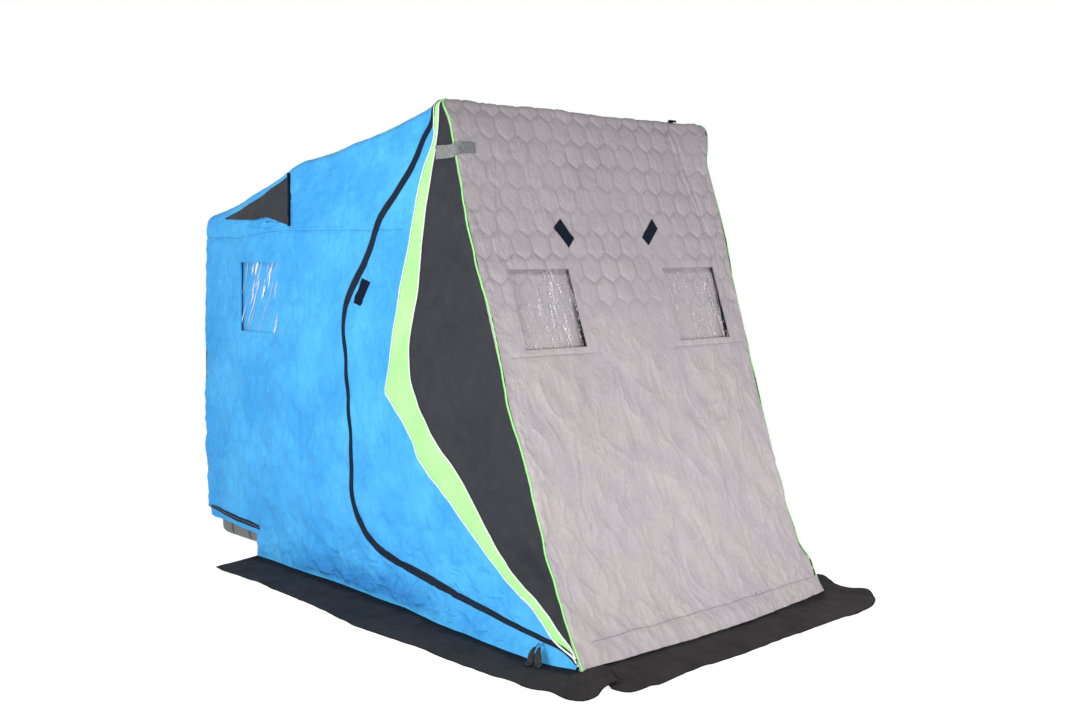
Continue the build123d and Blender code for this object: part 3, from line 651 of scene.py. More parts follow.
def shell(name, outer, uv, thickness, outward, finishes, keep=None, group=3):
    """A closed sheet of cloth from a grid for its outer face.

    The inner face lies a thickness inside, on every `group`-th line of the grid, and each rim is
    closed by faces that join `group` steps of the outer face to one of the inner. `keep` says
    which groups of cells there are, and `outward` gives a direction that the outer face looks to.
    The first finish is the outer face's and the rims', and the second is the inner face's."""
    n, m = outer.shape[:2]
    rows, columns = (n - 1) // group, (m - 1) // group
    keep = np.ones((rows, columns), bool) if keep is None else keep
    coarse = outer[::group, ::group]
    normal = normals_of(coarse)
    flip = float((normal.reshape(-1, 3) @ np.asarray(outward, float)).sum()) < 0
    inner = coarse + normal * (thickness if flip else -thickness)
    points = np.vstack((outer.reshape(-1, 3), inner.reshape(-1, 3)))
    places = np.vstack((uv.reshape(-1, 2), uv[::group, ::group].reshape(-1, 2)))
    o = np.arange(n * m).reshape(n, m)
    i = np.arange(coarse.shape[0] * coarse.shape[1]).reshape(coarse.shape[:2]) + n * m
    fine = np.repeat(np.repeat(keep, group, 0), group, 1)
    quads = np.stack((o[:-1, :-1], o[1:, :-1], o[1:, 1:], o[:-1, 1:]), -1)[fine]
    back = np.stack((i[:-1, :-1], i[:-1, 1:], i[1:, 1:], i[1:, :-1]), -1)[keep]
    padded = np.pad(keep, 1)
    across = np.stack([o[::group, k : m - group + k : group] for k in range(group + 1)], -1)
    down = np.stack([o[k : n - group + k : group, ::group] for k in range(group + 1)], -1)
    # For each of a cell's four sides: its neighbour, its outer points, its inner ends, and the turn
    sides = (
        (padded[:-2, 1:-1], across[:-1], i[:-1, :-1], i[:-1, 1:], True),
        (padded[2:, 1:-1], across[1:], i[1:, :-1], i[1:, 1:], False),
        (padded[1:-1, :-2], down[:, :-1], i[:-1, :-1], i[1:, :-1], False),
        (padded[1:-1, 2:], down[:, 1:], i[:-1, 1:], i[1:, 1:], True),
    )
    rims = []
    for neighbour, line, a, b, forward in sides:
        line, ends = (line, (b, a)) if forward else (line[..., ::-1], (a, b))
        rims += np.concatenate((line, np.stack(ends, -1)), -1)[keep & ~neighbour].tolist()
    faces = quads.tolist() + rims + back.tolist()
    if flip:
        faces = [face[::-1] for face in faces]
    used = np.unique(np.concatenate([np.asarray(part).ravel() for part in (quads, rims, back)]))
    renumber = np.zeros(len(points), int)
    renumber[used] = np.arange(len(used))
    faces = [[int(renumber[k]) for k in face] for face in faces]
    piece = new_piece(name, points[used], faces, places[used])
    for finish_name in finishes:
        piece.data.materials.append(finish(finish_name))
    if len(finishes) > 1:
        index = np.zeros(len(faces), np.int32)
        index[len(quads) + len(rims) :] = 1
        piece.data.polygons.foreach_set("material_index", index)
    return piece


def sweep(name, path, across, up, outline, finish_name):
    """A solid bar: a closed outline carried along a path.

    Each point is path + across * outline x + up * outline y, for every place on the path."""
    outline = np.asarray(outline, float)
    rings = path[:, None] + across[:, None] * outline[None, :, :1] + up[:, None] * outline[None, :, 1:]
    n, k = rings.shape[:2]
    index = np.arange(n * k).reshape(n, k)
    following = np.roll(index, -1, 1)
    faces = np.stack((index[:-1], following[:-1], following[1:], index[1:]), -1).reshape(-1, 4).tolist()
    faces += [index[0][::-1].tolist(), index[-1].tolist()]
    uv = np.stack(np.broadcast_arrays(run_along(path)[:, None], run_along(outline)[None, :]), -1)
    turn = np.cross(across[0], up[0]) @ (path[1] - path[0])
    if turn * area_of(outline) < 0:
        faces = [face[::-1] for face in faces]
    piece = new_piece(name, rings.reshape(-1, 3), faces, uv.reshape(-1, 2))
    piece.data.materials.append(finish(finish_name))
    return piece


def unit(vectors):
    return vectors / np.maximum(np.linalg.norm(vectors, axis=-1, keepdims=True), 1e-12)


def heading(path):
    """The direction of a path at each of its points."""
    return unit(np.gradient(path, axis=0))


def disc(radius, sides):
    """A round outline."""
    turn = np.linspace(0, 2 * math.pi, sides, endpoint=False)
    return np.stack((radius * np.cos(turn), radius * np.sin(turn)), -1)


def bar_outline(width, height, corner):
    """A flat bar's outline with its corners cut."""
    w, h, c = width / 2, height / 2, corner
    lower = ((-w + c, -h), (w - c, -h), (w, -h + c), (w, h - c))
    return np.array((*lower, (w - c, h), (-w + c, h), (-w, h - c), (-w, -h + c)))


# Finishes


class Finish:
    """One procedural material, put together node by node."""

    def __init__(self, name, roughness=0.6, **sockets):
        self.material = bpy.data.materials.new(name)
        self.material.use_nodes = True
        self.tree = self.material.node_tree
        self.tree.nodes.clear()
        self.shader = self.node("ShaderNodeBsdfPrincipled")
        self.shader.inputs["Roughness"].default_value = roughness
        for socket, value in sockets.items():
            self.shader.inputs[socket.replace("_", " ")].default_value = value
        output = self.node("ShaderNodeOutputMaterial")
        self.join(self.shader.outputs[0], output.inputs[0])

    def node(self, kind, inputs=(), **settings):
        made = self.tree.nodes.new(kind)
        for key, value in settings.items():
            setattr(made, key, value)
        for place, value in enumerate(inputs):
            self.give(made.inputs[place], value)
        return made

    def give(self, socket, value):
        if isinstance(value, bpy.types.NodeSocket):
            self.tree.links.new(value, socket)
        elif value is not None:
            socket.default_value = value

    def join(self, out, socket):
        self.tree.links.new(out, socket)

    def set(self, socket, value):
        """Joins a value to a socket of the shader."""
        self.join(value, self.shader.inputs[socket])

    def math(self, operation, *values):
        return self.node("ShaderNodeMath", values, operation=operation).outputs[0]

    def times(self, first, second):
        return self.math("MULTIPLY", first, second)

    def off_middle(self, value):
        """How far a value is from the middle of 0 to 1."""
        return self.math("ABSOLUTE", self.math("SUBTRACT", value, 0.5))

    def parts(self, at):
        return self.node("ShaderNodeSeparateXYZ", (at,)).outputs

    def vector(self, operation, *values):
        made = self.node(
            "ShaderNodeVectorMath", values if operation != "SCALE" else values[:1], operation=operation,
        )
        if operation == "SCALE":
            self.give(made.inputs["Scale"], values[1])
        return made.outputs["Value" if operation in ("LENGTH", "DOT_PRODUCT") else "Vector"]

    def scaled(self, at, scale):
        return self.vector("MULTIPLY", at, scale)

    def range(self, value, low, high, to_low=0.0, to_high=1.0):
        """Carries a value smoothly from one range to another."""
        made = self.node(
            "ShaderNodeMapRange", (value, low, high, to_low, to_high), interpolation_type="SMOOTHSTEP",
        )
        return made.outputs[0]

    def noise(self, at, scale, detail=3.0, roughness=0.55, distortion=0.0):
        made = self.node("ShaderNodeTexNoise")
        for socket, value in (
            ("Vector", at), ("Scale", scale), ("Detail", detail), ("Roughness", roughness),
            ("Distortion", distortion),
        ):
            self.give(made.inputs[socket], value)
        return made.outputs["Fac"]

    def colour_noise(self, at, scale):
        """A noise with three parts, to push places about with."""
        made = self.node("ShaderNodeTexNoise")
        self.give(made.inputs["Vector"], at)
        made.inputs["Scale"].default_value = scale
        return made.outputs["Color"]

    def mix(self, share, first, second):
        made = self.node("ShaderNodeMix", data_type="RGBA")
        self.give(made.inputs[0], share)
        self.give(made.inputs[6], self.solid(first))
        self.give(made.inputs[7], self.solid(second))
        return made.outputs[2]

    @staticmethod
    def solid(colour):
        return colour if isinstance(colour, bpy.types.NodeSocket) else (*colour[:3], 1.0)

    def cloth(self):
        """The piece's own places on the flat cloth, in metres."""
        return self.node("ShaderNodeUVMap", uv_map="Cloth").outputs[0]

    def object(self):
        return self.node("ShaderNodeTexCoord").outputs["Object"]

    def bump(self, height, strength=1.0):
        """Bumps the surface by a height in metres."""
        made = self.node("ShaderNodeBump")
        made.inputs["Strength"].default_value = strength
        made.inputs["Distance"].default_value = 1.0
        self.join(height, made.inputs["Height"])
        self.join(made.outputs[0], self.shader.inputs["Normal"])

    def sum(self, *parts):
        """The sum of (value, weight) pairs."""
        total = None
        for value, weight in parts:
            total = self.math("MULTIPLY_ADD", value, weight, 0.0 if total is None else total)
        return total

    def weave(self, at, pitch):
        """Crossed threads, -1 to 1: the product of a sine along and a sine across the cloth."""
        parts = self.node("ShaderNodeSeparateXYZ", (at,))
        waves = [self.math("SINE", self.times(part, 2 * math.pi / pitch)) for part in parts.outputs[:2]]
        return self.times(*waves)

    def cell_edge(self, at, pitch):
        """How far a place is from the edge of its quilt cell, as cell_edge() above works it out."""
        repeat, half = (pitch, pitch * math.sqrt(3), 1.0), (pitch / 2, pitch * math.sqrt(3) / 2, 0.5)
        positive = self.vector("ADD", at, tuple(60 * r for r in repeat))
        a = self.vector("SUBTRACT", self.vector("MODULO", positive, repeat), half)
        b = self.vector(
            "SUBTRACT", self.vector("MODULO", self.vector("SUBTRACT", positive, half), repeat), half,
        )
        flat = [self.scaled(v, (1.0, 1.0, 0.0)) for v in (a, b)]
        near = self.math("LESS_THAN", *(self.vector("LENGTH", v) for v in flat))
        chosen = self.node("ShaderNodeMix", data_type="VECTOR")
        self.give(chosen.inputs[0], near)
        self.give(chosen.inputs[4], flat[1])
        self.give(chosen.inputs[5], flat[0])
        size = self.vector("ABSOLUTE", chosen.outputs[1])
        flats = self.vector("DOT_PRODUCT", size, (1.0, 0.0, 0.0))
        slants = self.vector("DOT_PRODUCT", size, (0.5, math.sqrt(3) / 2, 0.0))
        return self.math("SUBTRACT", pitch / 2, self.math("MAXIMUM", flats, slants))


def shade(colour, share):
    return tuple(c * share for c in colour)


def quilted_cloth(
    name, colour, second, crease_shade, line_share, firm, crumple, streaks=0.0, seams=(), foot=None,
    roughness=0.66,
):
    """Woven cover cloth: two tones in slow patches, stitched cell lines, crumples and a weave, with painted
    shade.

    The cell lines go from the first strength of `firm`, 1.05 m along the cloth, to the second at
    1.4 m; they and a softer band beside them are darkened, partly as the stitching's own colour and
    partly as painted shade in the grooves. The crumples are sharp valleys, where a stretched noise
    passes its middle, and take the darker crease colour as painted shade; the lines of `seams` take a
    darker shade of it, as real seams and as painted shade along creases and under the vent hoods. By
    the ice, in the hollow behind the door, the cloth turns to the `foot` colour, which is painted shade."""
    f = Finish(name, roughness, Specular_IOR_Level=0.3, Sheen_Weight=0.04, Sheen_Roughness=0.45)
    at = f.cloth()
    bent = f.vector(
        "ADD", at, f.vector("SCALE", f.vector("SUBTRACT", f.colour_noise(at, 9.0), (0.5, 0.5, 0.5)), 0.014),
    )
    places = f.parts(bent)
    edge = f.cell_edge(f.scaled(bent, (1.0, 1 / STRETCH, 1.0)), sizes().quilt_pitch)
    held = f.times(
        f.range(f.noise(at, 2.6, 2.0), 0.36, 0.62, 0.25, 1.0), f.range(places[1], 1.05, 1.4, *firm),
    )
    # Stitched lines, and a softer band beside them, darkened below: partly the stitching's own colour,
    # partly painted shade in the grooves
    line = f.times(f.range(edge, 0.0004, 0.0062, 1.0, 0.0), held)
    soft = f.times(f.range(edge, 0.0, 0.024, 1.0, 0.0), held)
    ridged = f.off_middle(f.noise(f.scaled(at, (14.0, 8.0, 1.0)), 1.0, 4.0, 0.58, 1.1))
    small = f.off_middle(f.noise(at, 38.0, 4.0, 0.6, 0.9))
    patches = f.range(f.noise(at, 4.2, 3.0), 0.4, 0.6, 0.25, 1.0)
    # Painted shade: the crumples' crease valleys, in patches, take the darker crease colour
    deep = f.times(f.range(ridged, 0.0, 0.05, 1.0, 0.0), patches)
    seam_and_shade_line = 0.0
    for upright, place, drop, low, high, share in seams:
        along, beside = (places[1], places[0]) if upright else (places[0], places[1])
        place = f.range(along, *drop[:2], place, place + drop[2]) if drop else place
        near = f.range(f.math("ABSOLUTE", f.math("SUBTRACT", beside, place)), 0.0004, 0.0024, share, 0.0)
        inside = f.times(
            f.range(along, low - 0.012, low + 0.012), f.range(along, high - 0.012, high + 0.012, 1.0, 0.0),
        )
        seam_and_shade_line = f.math("MAXIMUM", f.times(near, inside), seam_and_shade_line)
    tone = f.range(f.noise(at, 3.4, 4.0, 0.62), 0.34, 0.66)
    if not foot:
        tone = f.times(tone, f.range(places[1], 0.7, 1.8, 1.0, 0.15))
    base = f.mix(tone, colour, second)
    mottle_and_foot_shade = f.mix(
        f.range(f.noise(at, 26.0, 5.0, 0.65), 0.38, 0.66, 0.0, 0.5), base,
        f.mix(tone, shade(colour, 0.965), shade(second, 1.02)),
    )
    # Painted shade by the ice, in the hollow behind the door: the darker foot colour, kept off the last few
    # centimetres at the hem
    if foot:
        low = f.range(f.math("MULTIPLY_ADD", f.noise(at, 11.0, 3.0), 0.1, places[1]), 0.09, 0.215, 1.0, 0.0)
        hollow = f.times(f.range(places[0], 0.55, 0.95), f.range(places[0], 1.5, 1.84, 1.0, 0.0))
        edge_band = f.range(places[1], 0.01, 0.034)
        mottle_and_foot_shade = f.mix(f.times(f.times(low, hollow), f.times(edge_band, 0.8)), mottle_and_foot_shade, foot)
    crease_shaded = f.mix(f.times(deep, 0.22), mottle_and_foot_shade, crease_shade)
    # Painted shade in the stitched grooves, over the stitching's own darker line
    stitched = f.mix(
        f.math("MAXIMUM", f.times(line, line_share), f.times(soft, line_share * 0.3)), crease_shaded,
        shade(crease_shade, 0.62),
    )
    # Seams darken as real joints; the crease and vent lines among them are painted shade
    seamed = f.mix(seam_and_shade_line, stitched, shade(crease_shade, 0.45))
    fibre = f.noise(at, 900.0, 2.0, 0.7)
    f.set("Base Color", f.mix(f.range(fibre, 0.2, 0.8, 0.0, 0.05), seamed, shade(colour, 0.6)))
    wrinkle = f.noise(at, 30.0, 5.0, 0.6, 0.6)
    streak = f.noise(f.scaled(at, (75.0, 7.0, 1.0)), 1.0, 3.0, 0.5, 0.4)
    f.bump(
        f.sum(
            (line, -0.001), (soft, -0.0014), (seam_and_shade_line, -0.0014), (ridged, 0.016 * crumple),
            (small, 0.005 * crumple), (wrinkle, 0.0034), (streak, 0.0028 * streaks),
            (f.weave(at, 0.0016), 0.00003),
        )
    )
    f.set("Roughness", f.range(wrinkle, 0.3, 0.7, roughness - 0.05, roughness + 0.08))
    return f.material


# Lines drawn darker in the cloth, real seams and painted shade along creases: upright or level, where, how
# its place drops, from, to, strength
GREY_SEAM_AND_SHADE_LINES = (
    (False, 0.066, (-0.62, 0.0, 0.0), -0.62, 0.66, 0.5),
    (False, 1.06, None, -0.64, -0.235, 0.42), (False, 1.06, None, 0.225, 0.66, 0.42),
    # Painted shade along the creases of the bows and of a long fold
    (True, 0.579, (1.4, 2.045, -0.104), 1.42, 2.0, 0.26),
    (True, 0.609, (1.4, 2.045, -0.104), 1.52, 1.97, 0.16),
    (True, -0.584, (1.4, 2.045, 0.104), 1.44, 1.93, 0.2),
    (True, -0.455, (0.4, 0.75, 0.014), 0.41, 0.74, 0.22),
)
BLUE_SEAM_AND_SHADE_LINES = (
    (False, 1.4545, (1.78, 2.25, -0.0275), 0.93, 2.6, 0.5), (False, 1.467, None, 1.33, 1.75, 0.3),
    # Painted shadow and wrinkle shade on the wall under the vent hood's hem
    (False, 1.493, (1.8, 1.99, 0.006), 1.81, 1.985, 0.6),
    (False, 1.479, (1.84, 1.96, -0.009), 1.85, 1.96, 0.4),
    (True, 1.7, None, 0.22, 1.44, 0.2), (False, 0.992, None, 1.84, 2.2, 0.2),
)


def plain_cloth(name, colour, roughness=0.6, fold=0.0022, sheen=0.1, pitch=0.0014, scale=22.0):
    """Smooth woven cloth: slow tone changes, soft wrinkles and a fine weave."""
    f = Finish(name, roughness, Specular_IOR_Level=0.25, Sheen_Weight=sheen, Sheen_Roughness=0.4)
    at = f.cloth()
    tone = f.range(f.noise(at, 5.0, 4.0, 0.6), 0.32, 0.68)
    fibre = f.noise(at, 700.0, 2.0, 0.7)
    base = f.mix(tone, shade(colour, 0.9), shade(colour, 1.1))
    f.set("Base Color", f.mix(f.range(fibre, 0.2, 0.8, 0.0, 0.1), base, shade(colour, 0.5)))
    wrinkle = f.noise(at, scale, 4.0, 0.55, 0.4)
    f.bump(f.sum((wrinkle, fold), (f.noise(at, scale * 5, 3.0), fold * 0.2), (f.weave(at, pitch), 0.00004)))
    f.set("Roughness", f.range(wrinkle, 0.3, 0.7, roughness - 0.06, roughness + 0.06))
    return f.material


def ribbed_tape(name, colour, pitch=0.003, roughness=0.5, depth=0.00025):
    """Tape or webbing: ribs across its length, with a little variation of tone."""
    f = Finish(name, roughness, Specular_IOR_Level=0.12)
    at = f.cloth()
    along = f.parts(at)[0]
    rib = f.math("SINE", f.times(along, 2 * math.pi / pitch))
    tone = f.range(f.noise(at, 60.0, 3.0), 0.3, 0.7)
    f.set("Base Color", f.mix(tone, shade(colour, 0.86), shade(colour, 1.14)))
    f.bump(f.sum((rib, depth), (f.noise(at, 40.0, 3.0), 0.0012)))
    return f.material


def cord_cloth(name, colour, roughness=0.45):
    """Smooth covered piping: even colour with a faint weave and lighter rubbed spots."""
    f = Finish(name, roughness, Specular_IOR_Level=0.45, Sheen_Weight=0.1)
    at = f.cloth()
    rubbed = f.range(f.noise(at, 35.0, 4.0), 0.5, 0.75)
    f.set("Base Color", f.mix(rubbed, colour, tuple(min(1.0, c * 1.15 + 0.06) for c in colour)))
    f.bump(f.sum((f.weave(at, 0.0018), 0.0001), (f.noise(at, 90.0, 3.0), 0.0005)))
    return f.material


def clear_vinyl(name, slant, reach, dotted, painted_glint):
    """Clear pane: thin see-through film, with painted highlights: white strings and flecks where its
    creases would catch the lamp.

    The strings lean by `slant` and are about 1 / `reach` m long, `dotted` breaks them into flecks,
    and the glint strength is how bright the painted highlights are."""
    f = Finish(name, 0.1, Specular_IOR_Level=0.4)
    at = f.cloth()
    parts = f.parts(at)
    leaned = f.node(
        "ShaderNodeCombineXYZ", (f.math("MULTIPLY_ADD", parts[1], slant, parts[0]), parts[1]),
    ).outputs[0]
    drawn = f.scaled(leaned, (22.0, reach, 1.0))
    crease = f.range(f.off_middle(f.noise(drawn, 1.0, 1.0, 0.5, 0.2)), 0.004, 0.036, 1.0, 0.0)
    broken = f.range(f.noise(f.scaled(leaned, (60.0, 14.0, 1.0)), 1.0, 2.0), 0.42, 0.56, 0.15, 1.0)
    painted_fleck = f.range(f.noise(at, 150.0, 2.0, 0.6), 0.51, 0.56)
    kept = f.times(broken, f.math("MAXIMUM", painted_fleck, 1.0 - dotted))
    loose_painted_flecks = f.range(f.noise(at, 120.0, 2.0, 0.6), 0.65, 0.69)
    # Painted highlights: white colour and more cover where the strings and flecks are
    white = f.math("MAXIMUM", f.times(crease, kept), f.times(loose_painted_flecks, 0.9 * dotted))
    f.set("Alpha", f.range(white, 0.0, 1.0, 0.015, painted_glint))
    f.set("Base Color", f.mix(f.range(white, 0.0, 0.2), (0.75, 0.76, 0.8), (1.0, 1.0, 1.0)))
    f.bump(f.sum((f.noise(at, 55.0, 4.0, 0.6, 0.5), 0.004), (crease, 0.0008)))
    return f.material


def skirt_cloth(name, colour):
    """Skirt cloth: a dark band of painted shade along the hut, by the wall's foot, lighter further out,
    with soft wrinkles and a weave.
    """
    f = Finish(name, 0.72, Specular_IOR_Level=0.08)
    at = f.cloth()
    out = f.parts(at)[1]
    cloud = f.noise(at, 7.0, 4.0, 0.6, 0.4)
    # Painted shade: the inner band next to the hut is taken down to a third of the colour
    reach = f.range(f.sum((cloud, 0.09), (out, 1.0)), 0.085, 0.125)
    base = f.mix(f.range(cloud, 0.34, 0.66), shade(colour, 0.84), shade(colour, 1.16))
    f.set("Base Color", f.mix(reach, shade(colour, 0.34), base))
    drawn = f.noise(f.scaled(at, (9.0, 4.0, 1.0)), 1.0, 3.0, 0.5, 0.6)
    f.bump(f.sum((drawn, 0.016), (f.noise(at, 60.0, 3.0), 0.0012), (f.weave(at, 0.0018), 0.00004)))
    return f.material


def brushed_metal(name, colour, roughness=0.32):
    """Drawn tube metal: fine scratches along it, cloudy tone and duller spots."""
    f = Finish(name, roughness, Metallic=1.0)
    at = f.object()
    scratch = f.noise(f.scaled(at, (400.0, 30.0, 30.0)), 1.0, 3.0)
    cloud = f.range(f.noise(at, 14.0, 4.0), 0.3, 0.7)
    f.set("Base Color", f.mix(cloud, shade(colour, 0.82), colour))
    f.set("Roughness", f.range(cloud, 0.0, 1.0, roughness + 0.12, roughness - 0.06))
    f.bump(f.sum((scratch, 0.00008)))
    return f.material


def moulded_plastic(name, colour, roughness=0.5):
    """Moulded plastic: a pebbled skin, scuffs and dull patches."""
    f = Finish(name, roughness, Specular_IOR_Level=0.45)
    at = f.object()
    scuff = f.range(f.noise(f.scaled(at, (9.0, 60.0, 9.0)), 1.0, 5.0, 0.7), 0.55, 0.75)
    cloud = f.range(f.noise(at, 7.0, 4.0), 0.3, 0.7)
    base = f.mix(cloud, shade(colour, 0.88), shade(colour, 1.1))
    f.set("Base Color", f.mix(f.times(scuff, 0.35), base, tuple(c * 0.6 + 0.12 for c in colour)))
    f.set("Roughness", f.range(cloud, 0.0, 1.0, roughness - 0.08, roughness + 0.1))
    f.bump(f.sum((f.noise(at, 420.0, 2.0), 0.0002), (f.noise(at, 30.0, 3.0), 0.0006)))
    return f.material


FINISHES = {
    # Each quilted cloth's third colour is painted shade, for its creases, stitched grooves and drawn lines
    "grey_quilt": lambda c: quilted_cloth(
        "Grey Quilted Cloth", c.grey, c.grey_warm, (0.3, 0.26, 0.34), 0.34, (0.14, 1.0), 0.6, 0.3,
        GREY_SEAM_AND_SHADE_LINES,
    ),
    "blue_quilt": lambda c: quilted_cloth(
        "Blue Quilted Cloth", c.blue, c.blue_deep, (0.035, 0.235, 0.66), 0.15, (0.75, 0.22), 0.62, 0.0,
        # The blue cloth's last colour is the painted shade by its foot
        BLUE_SEAM_AND_SHADE_LINES, (0.02, 0.2, 0.56),
    ),
    "lime": lambda c: plain_cloth("Lime Cloth", c.lime, 0.62, 0.0012),
    "black": lambda c: plain_cloth("Black Cloth", c.black, 0.68, 0.004, 0.0),
    "vent": lambda c: plain_cloth("Vent Cloth", (0.029, 0.03, 0.036), 0.7, 0.001, 0.0),
    "skirt": lambda c: skirt_cloth("Skirt Cloth", c.skirt),
    "lining": lambda c: plain_cloth("Lining Cloth", c.lining, 0.75, 0.0015, 0.0),
    "edging": lambda c: ribbed_tape("Edging Tape", c.edging, 0.002),
    "zip": lambda c: ribbed_tape("Zip Tape", c.zip_tape, 0.0032, 0.55, 0.0004),
    "hem": lambda c: ribbed_tape("Hem Tape", c.zip_tape, 0.002, 0.6),
    "hem_line": lambda c: ribbed_tape("Hem Line", (0.16, 0.18, 0.21), 0.002, 0.6),
    "patch": lambda c: ribbed_tape("Hook Tape", shade(c.zip_tape, 0.85), 0.0022, 0.85, 0.0005),
    "webbing": lambda c: ribbed_tape("Reflective Webbing", c.webbing, 0.0035, 0.45, 0.0004),
    "piping": lambda c: cord_cloth("Piping Cord", c.lime_piping),
    "piping_tape": lambda c: cord_cloth("Piping Tape", (0.13, 0.62, 0.1)),
    "cord": lambda c: cord_cloth("Pull Cord", shade(c.blue_deep, 0.45)),
    # The clear panes carry painted white highlights in strings and flecks
    "vinyl": lambda c: clear_vinyl("Clear Vinyl", 0.1, 3.2, 1.0, 1.0),
    "side_vinyl": lambda c: clear_vinyl("Clear Side Vinyl", 0.49, 1.4, 0.0, 0.85),
    "pole": lambda c: brushed_metal("Bow Metal", c.metal),
    "plate": lambda c: brushed_metal("Plate Metal", shade(c.metal, 0.8), 0.4),
    "sled": lambda c: moulded_plastic("Sled Plastic", c.sled),
    # The groove finish is near-black painted shade for the sled's recessed grooves
    "groove": lambda c: moulded_plastic("Sled Groove Shade", shade(c.sled, 0.04)),
    "runner": lambda c: moulded_plastic("Runner Plastic", shade(c.sled, 0.35), 0.4),
    "pull": lambda c: moulded_plastic("Pull Plastic", (0.01, 0.01, 0.012), 0.45),
}
# What was worked out or made once: finishes by name, and the table of the sewn lines
MADE = {}


def finish(name):
    """A finish by name, made once."""
    if name not in MADE:
        MADE[name] = FINISHES[name](colours())
    return MADE[name]


# Placing the pieces


def put(piece, nodes=(), door=None):
    """Makes a piece ride on the shelter, or bakes a door's piece in place, and stand for nodes."""
    if door:
        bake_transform(piece)
    else:
        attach(piece, SHELTER)
    if nodes:
        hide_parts(*nodes)


def cut_area(uv, keep=None, group=3):
    """The flat area of a grid of cloth: the sum of its cells' areas on the cloth."""
    a, b = uv[1:, 1:] - uv[:-1, :-1], uv[1:, :-1] - uv[:-1, 1:]
    cells = np.abs(a[..., 0] * b[..., 1] - a[..., 1] * b[..., 0]) / 2
    if keep is not None:
        cells = cells * np.repeat(np.repeat(keep, group, 0), group, 1)
    return float(cells.sum())


def declare(uv, keep=None):
    """Works out the flat size of a piece of cloth from its own places on the cloth, but keeps it nowhere.

    The width and the area are the pattern's own, and so is the length, except for a slanting or
    bent piece that fills less than SLENDER of its box. Its length is cut down until the area is a
    little over SLENDER of the box, so that length is not a real size."""
    flat = uv.reshape(-1, 2)
    width, length = (float(x) for x in flat.max(0) - flat.min(0))
    area = cut_area(uv, keep)
    share = area / (width * length)
    if share < SLENDER:
        length *= share / (SLENDER + 0.02)
    area = min(area, width * length)


def add_cloth(name, surface, uv, thickness, outward, cloth, nodes, door=None, keep=None):
    """A lined sheet of cloth, put in its place, with its flat size worked out but not kept."""
    piece = shell(name, surface, uv, thickness, outward, (cloth, "lining"), keep)
    put(piece, nodes, door)
    declare(uv, keep)


def add_tape(name, surface, uv, thickness, outward, tape, nodes=(), door=None):
    """A tape, patch or pane: one finish all round, put in its place."""
    piece = shell(name, surface, uv, thickness, outward, (tape,), group=1)
    put(piece, nodes, door)


def add_bar(name, path, across, up, outline, finish_name, nodes=()):
    """A bar or cord along a path, put in its place."""
    put(sweep(name, path, across, up, outline, finish_name), nodes)


# Front wall, roof and rear wall


def ridge_lift(back, z):
    """How much the left end of the ridge stands above the right one, near the peak."""
    return (
        0.006 * np.exp(-(((back - PEAK[0]) / np.where(back > PEAK[0], 0.05, 0.28)) ** 2))
        * ease((z - 1.5) / 0.35)
    )


def right_heel(z):
    """How far the foot of the right front corner stays behind the left one's."""
    return np.clip(-edge_back(z), 0, None) * (z < 0.5)


def strip_edge(side, z, run):
    """How far out one edge of the strip is: less than full where the corner rounds over the bend,
    and on the front wall in and out with the side's front edge."""
    wrap = sizes().wrap
    front, rear = run <= STRIP.marks[1], run >= STRIP.marks[3]
    top = np.where(front, PEAK[1], REAR_TOP[1]) - 0.006
    rounding = np.clip(z - (top - wrap), 0, wrap)
    bend = wrap - np.sqrt(np.maximum(wrap**2 - rounding**2, 0))
    corner = np.where(front | rear, bend, wrap)
    foot = foot_spread(edge_place(z)) * near_foot(z)
    at_roof = edge_in[side](PEAK[1]) * ease((STRIP.marks[1] + ROOF_REACH - run) / ROOF_REACH)
    return HALF - corner - 0.004 * rear - np.where(front, edge_in[side](z) - foot, at_roof)


def strip_place(across, run, height, proud=0.0):
    """Where a place on the strip is: `across` is -1 to 1 of the half width at that run.

    The front wall's edges lie back with the sides' front edges, most at its corners, and its foot
    spreads forward on the ice. `height` fades out at the edges and `proud` doesn't."""
    back, z = STRIP.at(run)
    face_back, face_up = STRIP.facing(run)
    squeeze = np.where(across > 0, strip_edge(1, z, run) - HALF, HALF - strip_edge(-1, z, run))
    x = HALF * across + squeeze * np.abs(across) ** 7
    front = run <= STRIP.marks[1]
    share = 0.25 + 0.75 * np.abs(across) ** 5
    pull = np.where(front, edge_back(z) * share + right_heel(z) * np.clip(across, 0, 1) ** 4, 0.0)
    spread = np.where(front, front_spread(x) * np.clip(1 - z / FRONT_FOOT_HEIGHT, 0, 1) ** 2, 0.0)
    height = height * ease((1 - np.abs(across)) / 0.025) + proud
    lift = ridge_lift(back, z) * ease(0.35 - 0.65 * across)
    return np.stack((x, back + FRONT + pull - spread + face_back * height, z + face_up * height + lift), -1)


def bow_crease(across, run):
    """Paired upright creases where the bow's bend shows through the front cloth."""
    height = 0.0
    for seed, side, lean in ((21, 1, 0.055), (22, 1, 0.085), (23, -1, 0.06)):
        line = (
            side * (0.47 + (STRIP.marks[1] - run) * 0.16 + lean - 0.05)
            + 0.006 * ripple(run, 0 * run, seed, 0.25)
        )
        strong = ease((run - 1.36) / 0.12) * (0.4 if side < 0 else 1.0)
        height = height + strong * dip(across - line, 0.0065, 0.0065)
    return height


def beyond_pane(across, run):
    """How far outside the nearer front window a place is; below 0 in the window."""
    return np.minimum(*(beyond_box(across, run, *pane, *PANE_RUN) for pane in PANES.values()))


def open_cells(u, v, holes):
    """Which groups of three by three cells of a grid are outside every hole."""
    u, v = u[1::3, 1::3], v[1::3, 1::3]
    keep = np.ones(u.shape, bool)
    for u0, u1, v0, v1 in holes:
        keep &= ~((u > u0) & (u < u1) & (v > v0) & (v < v1))
    return keep


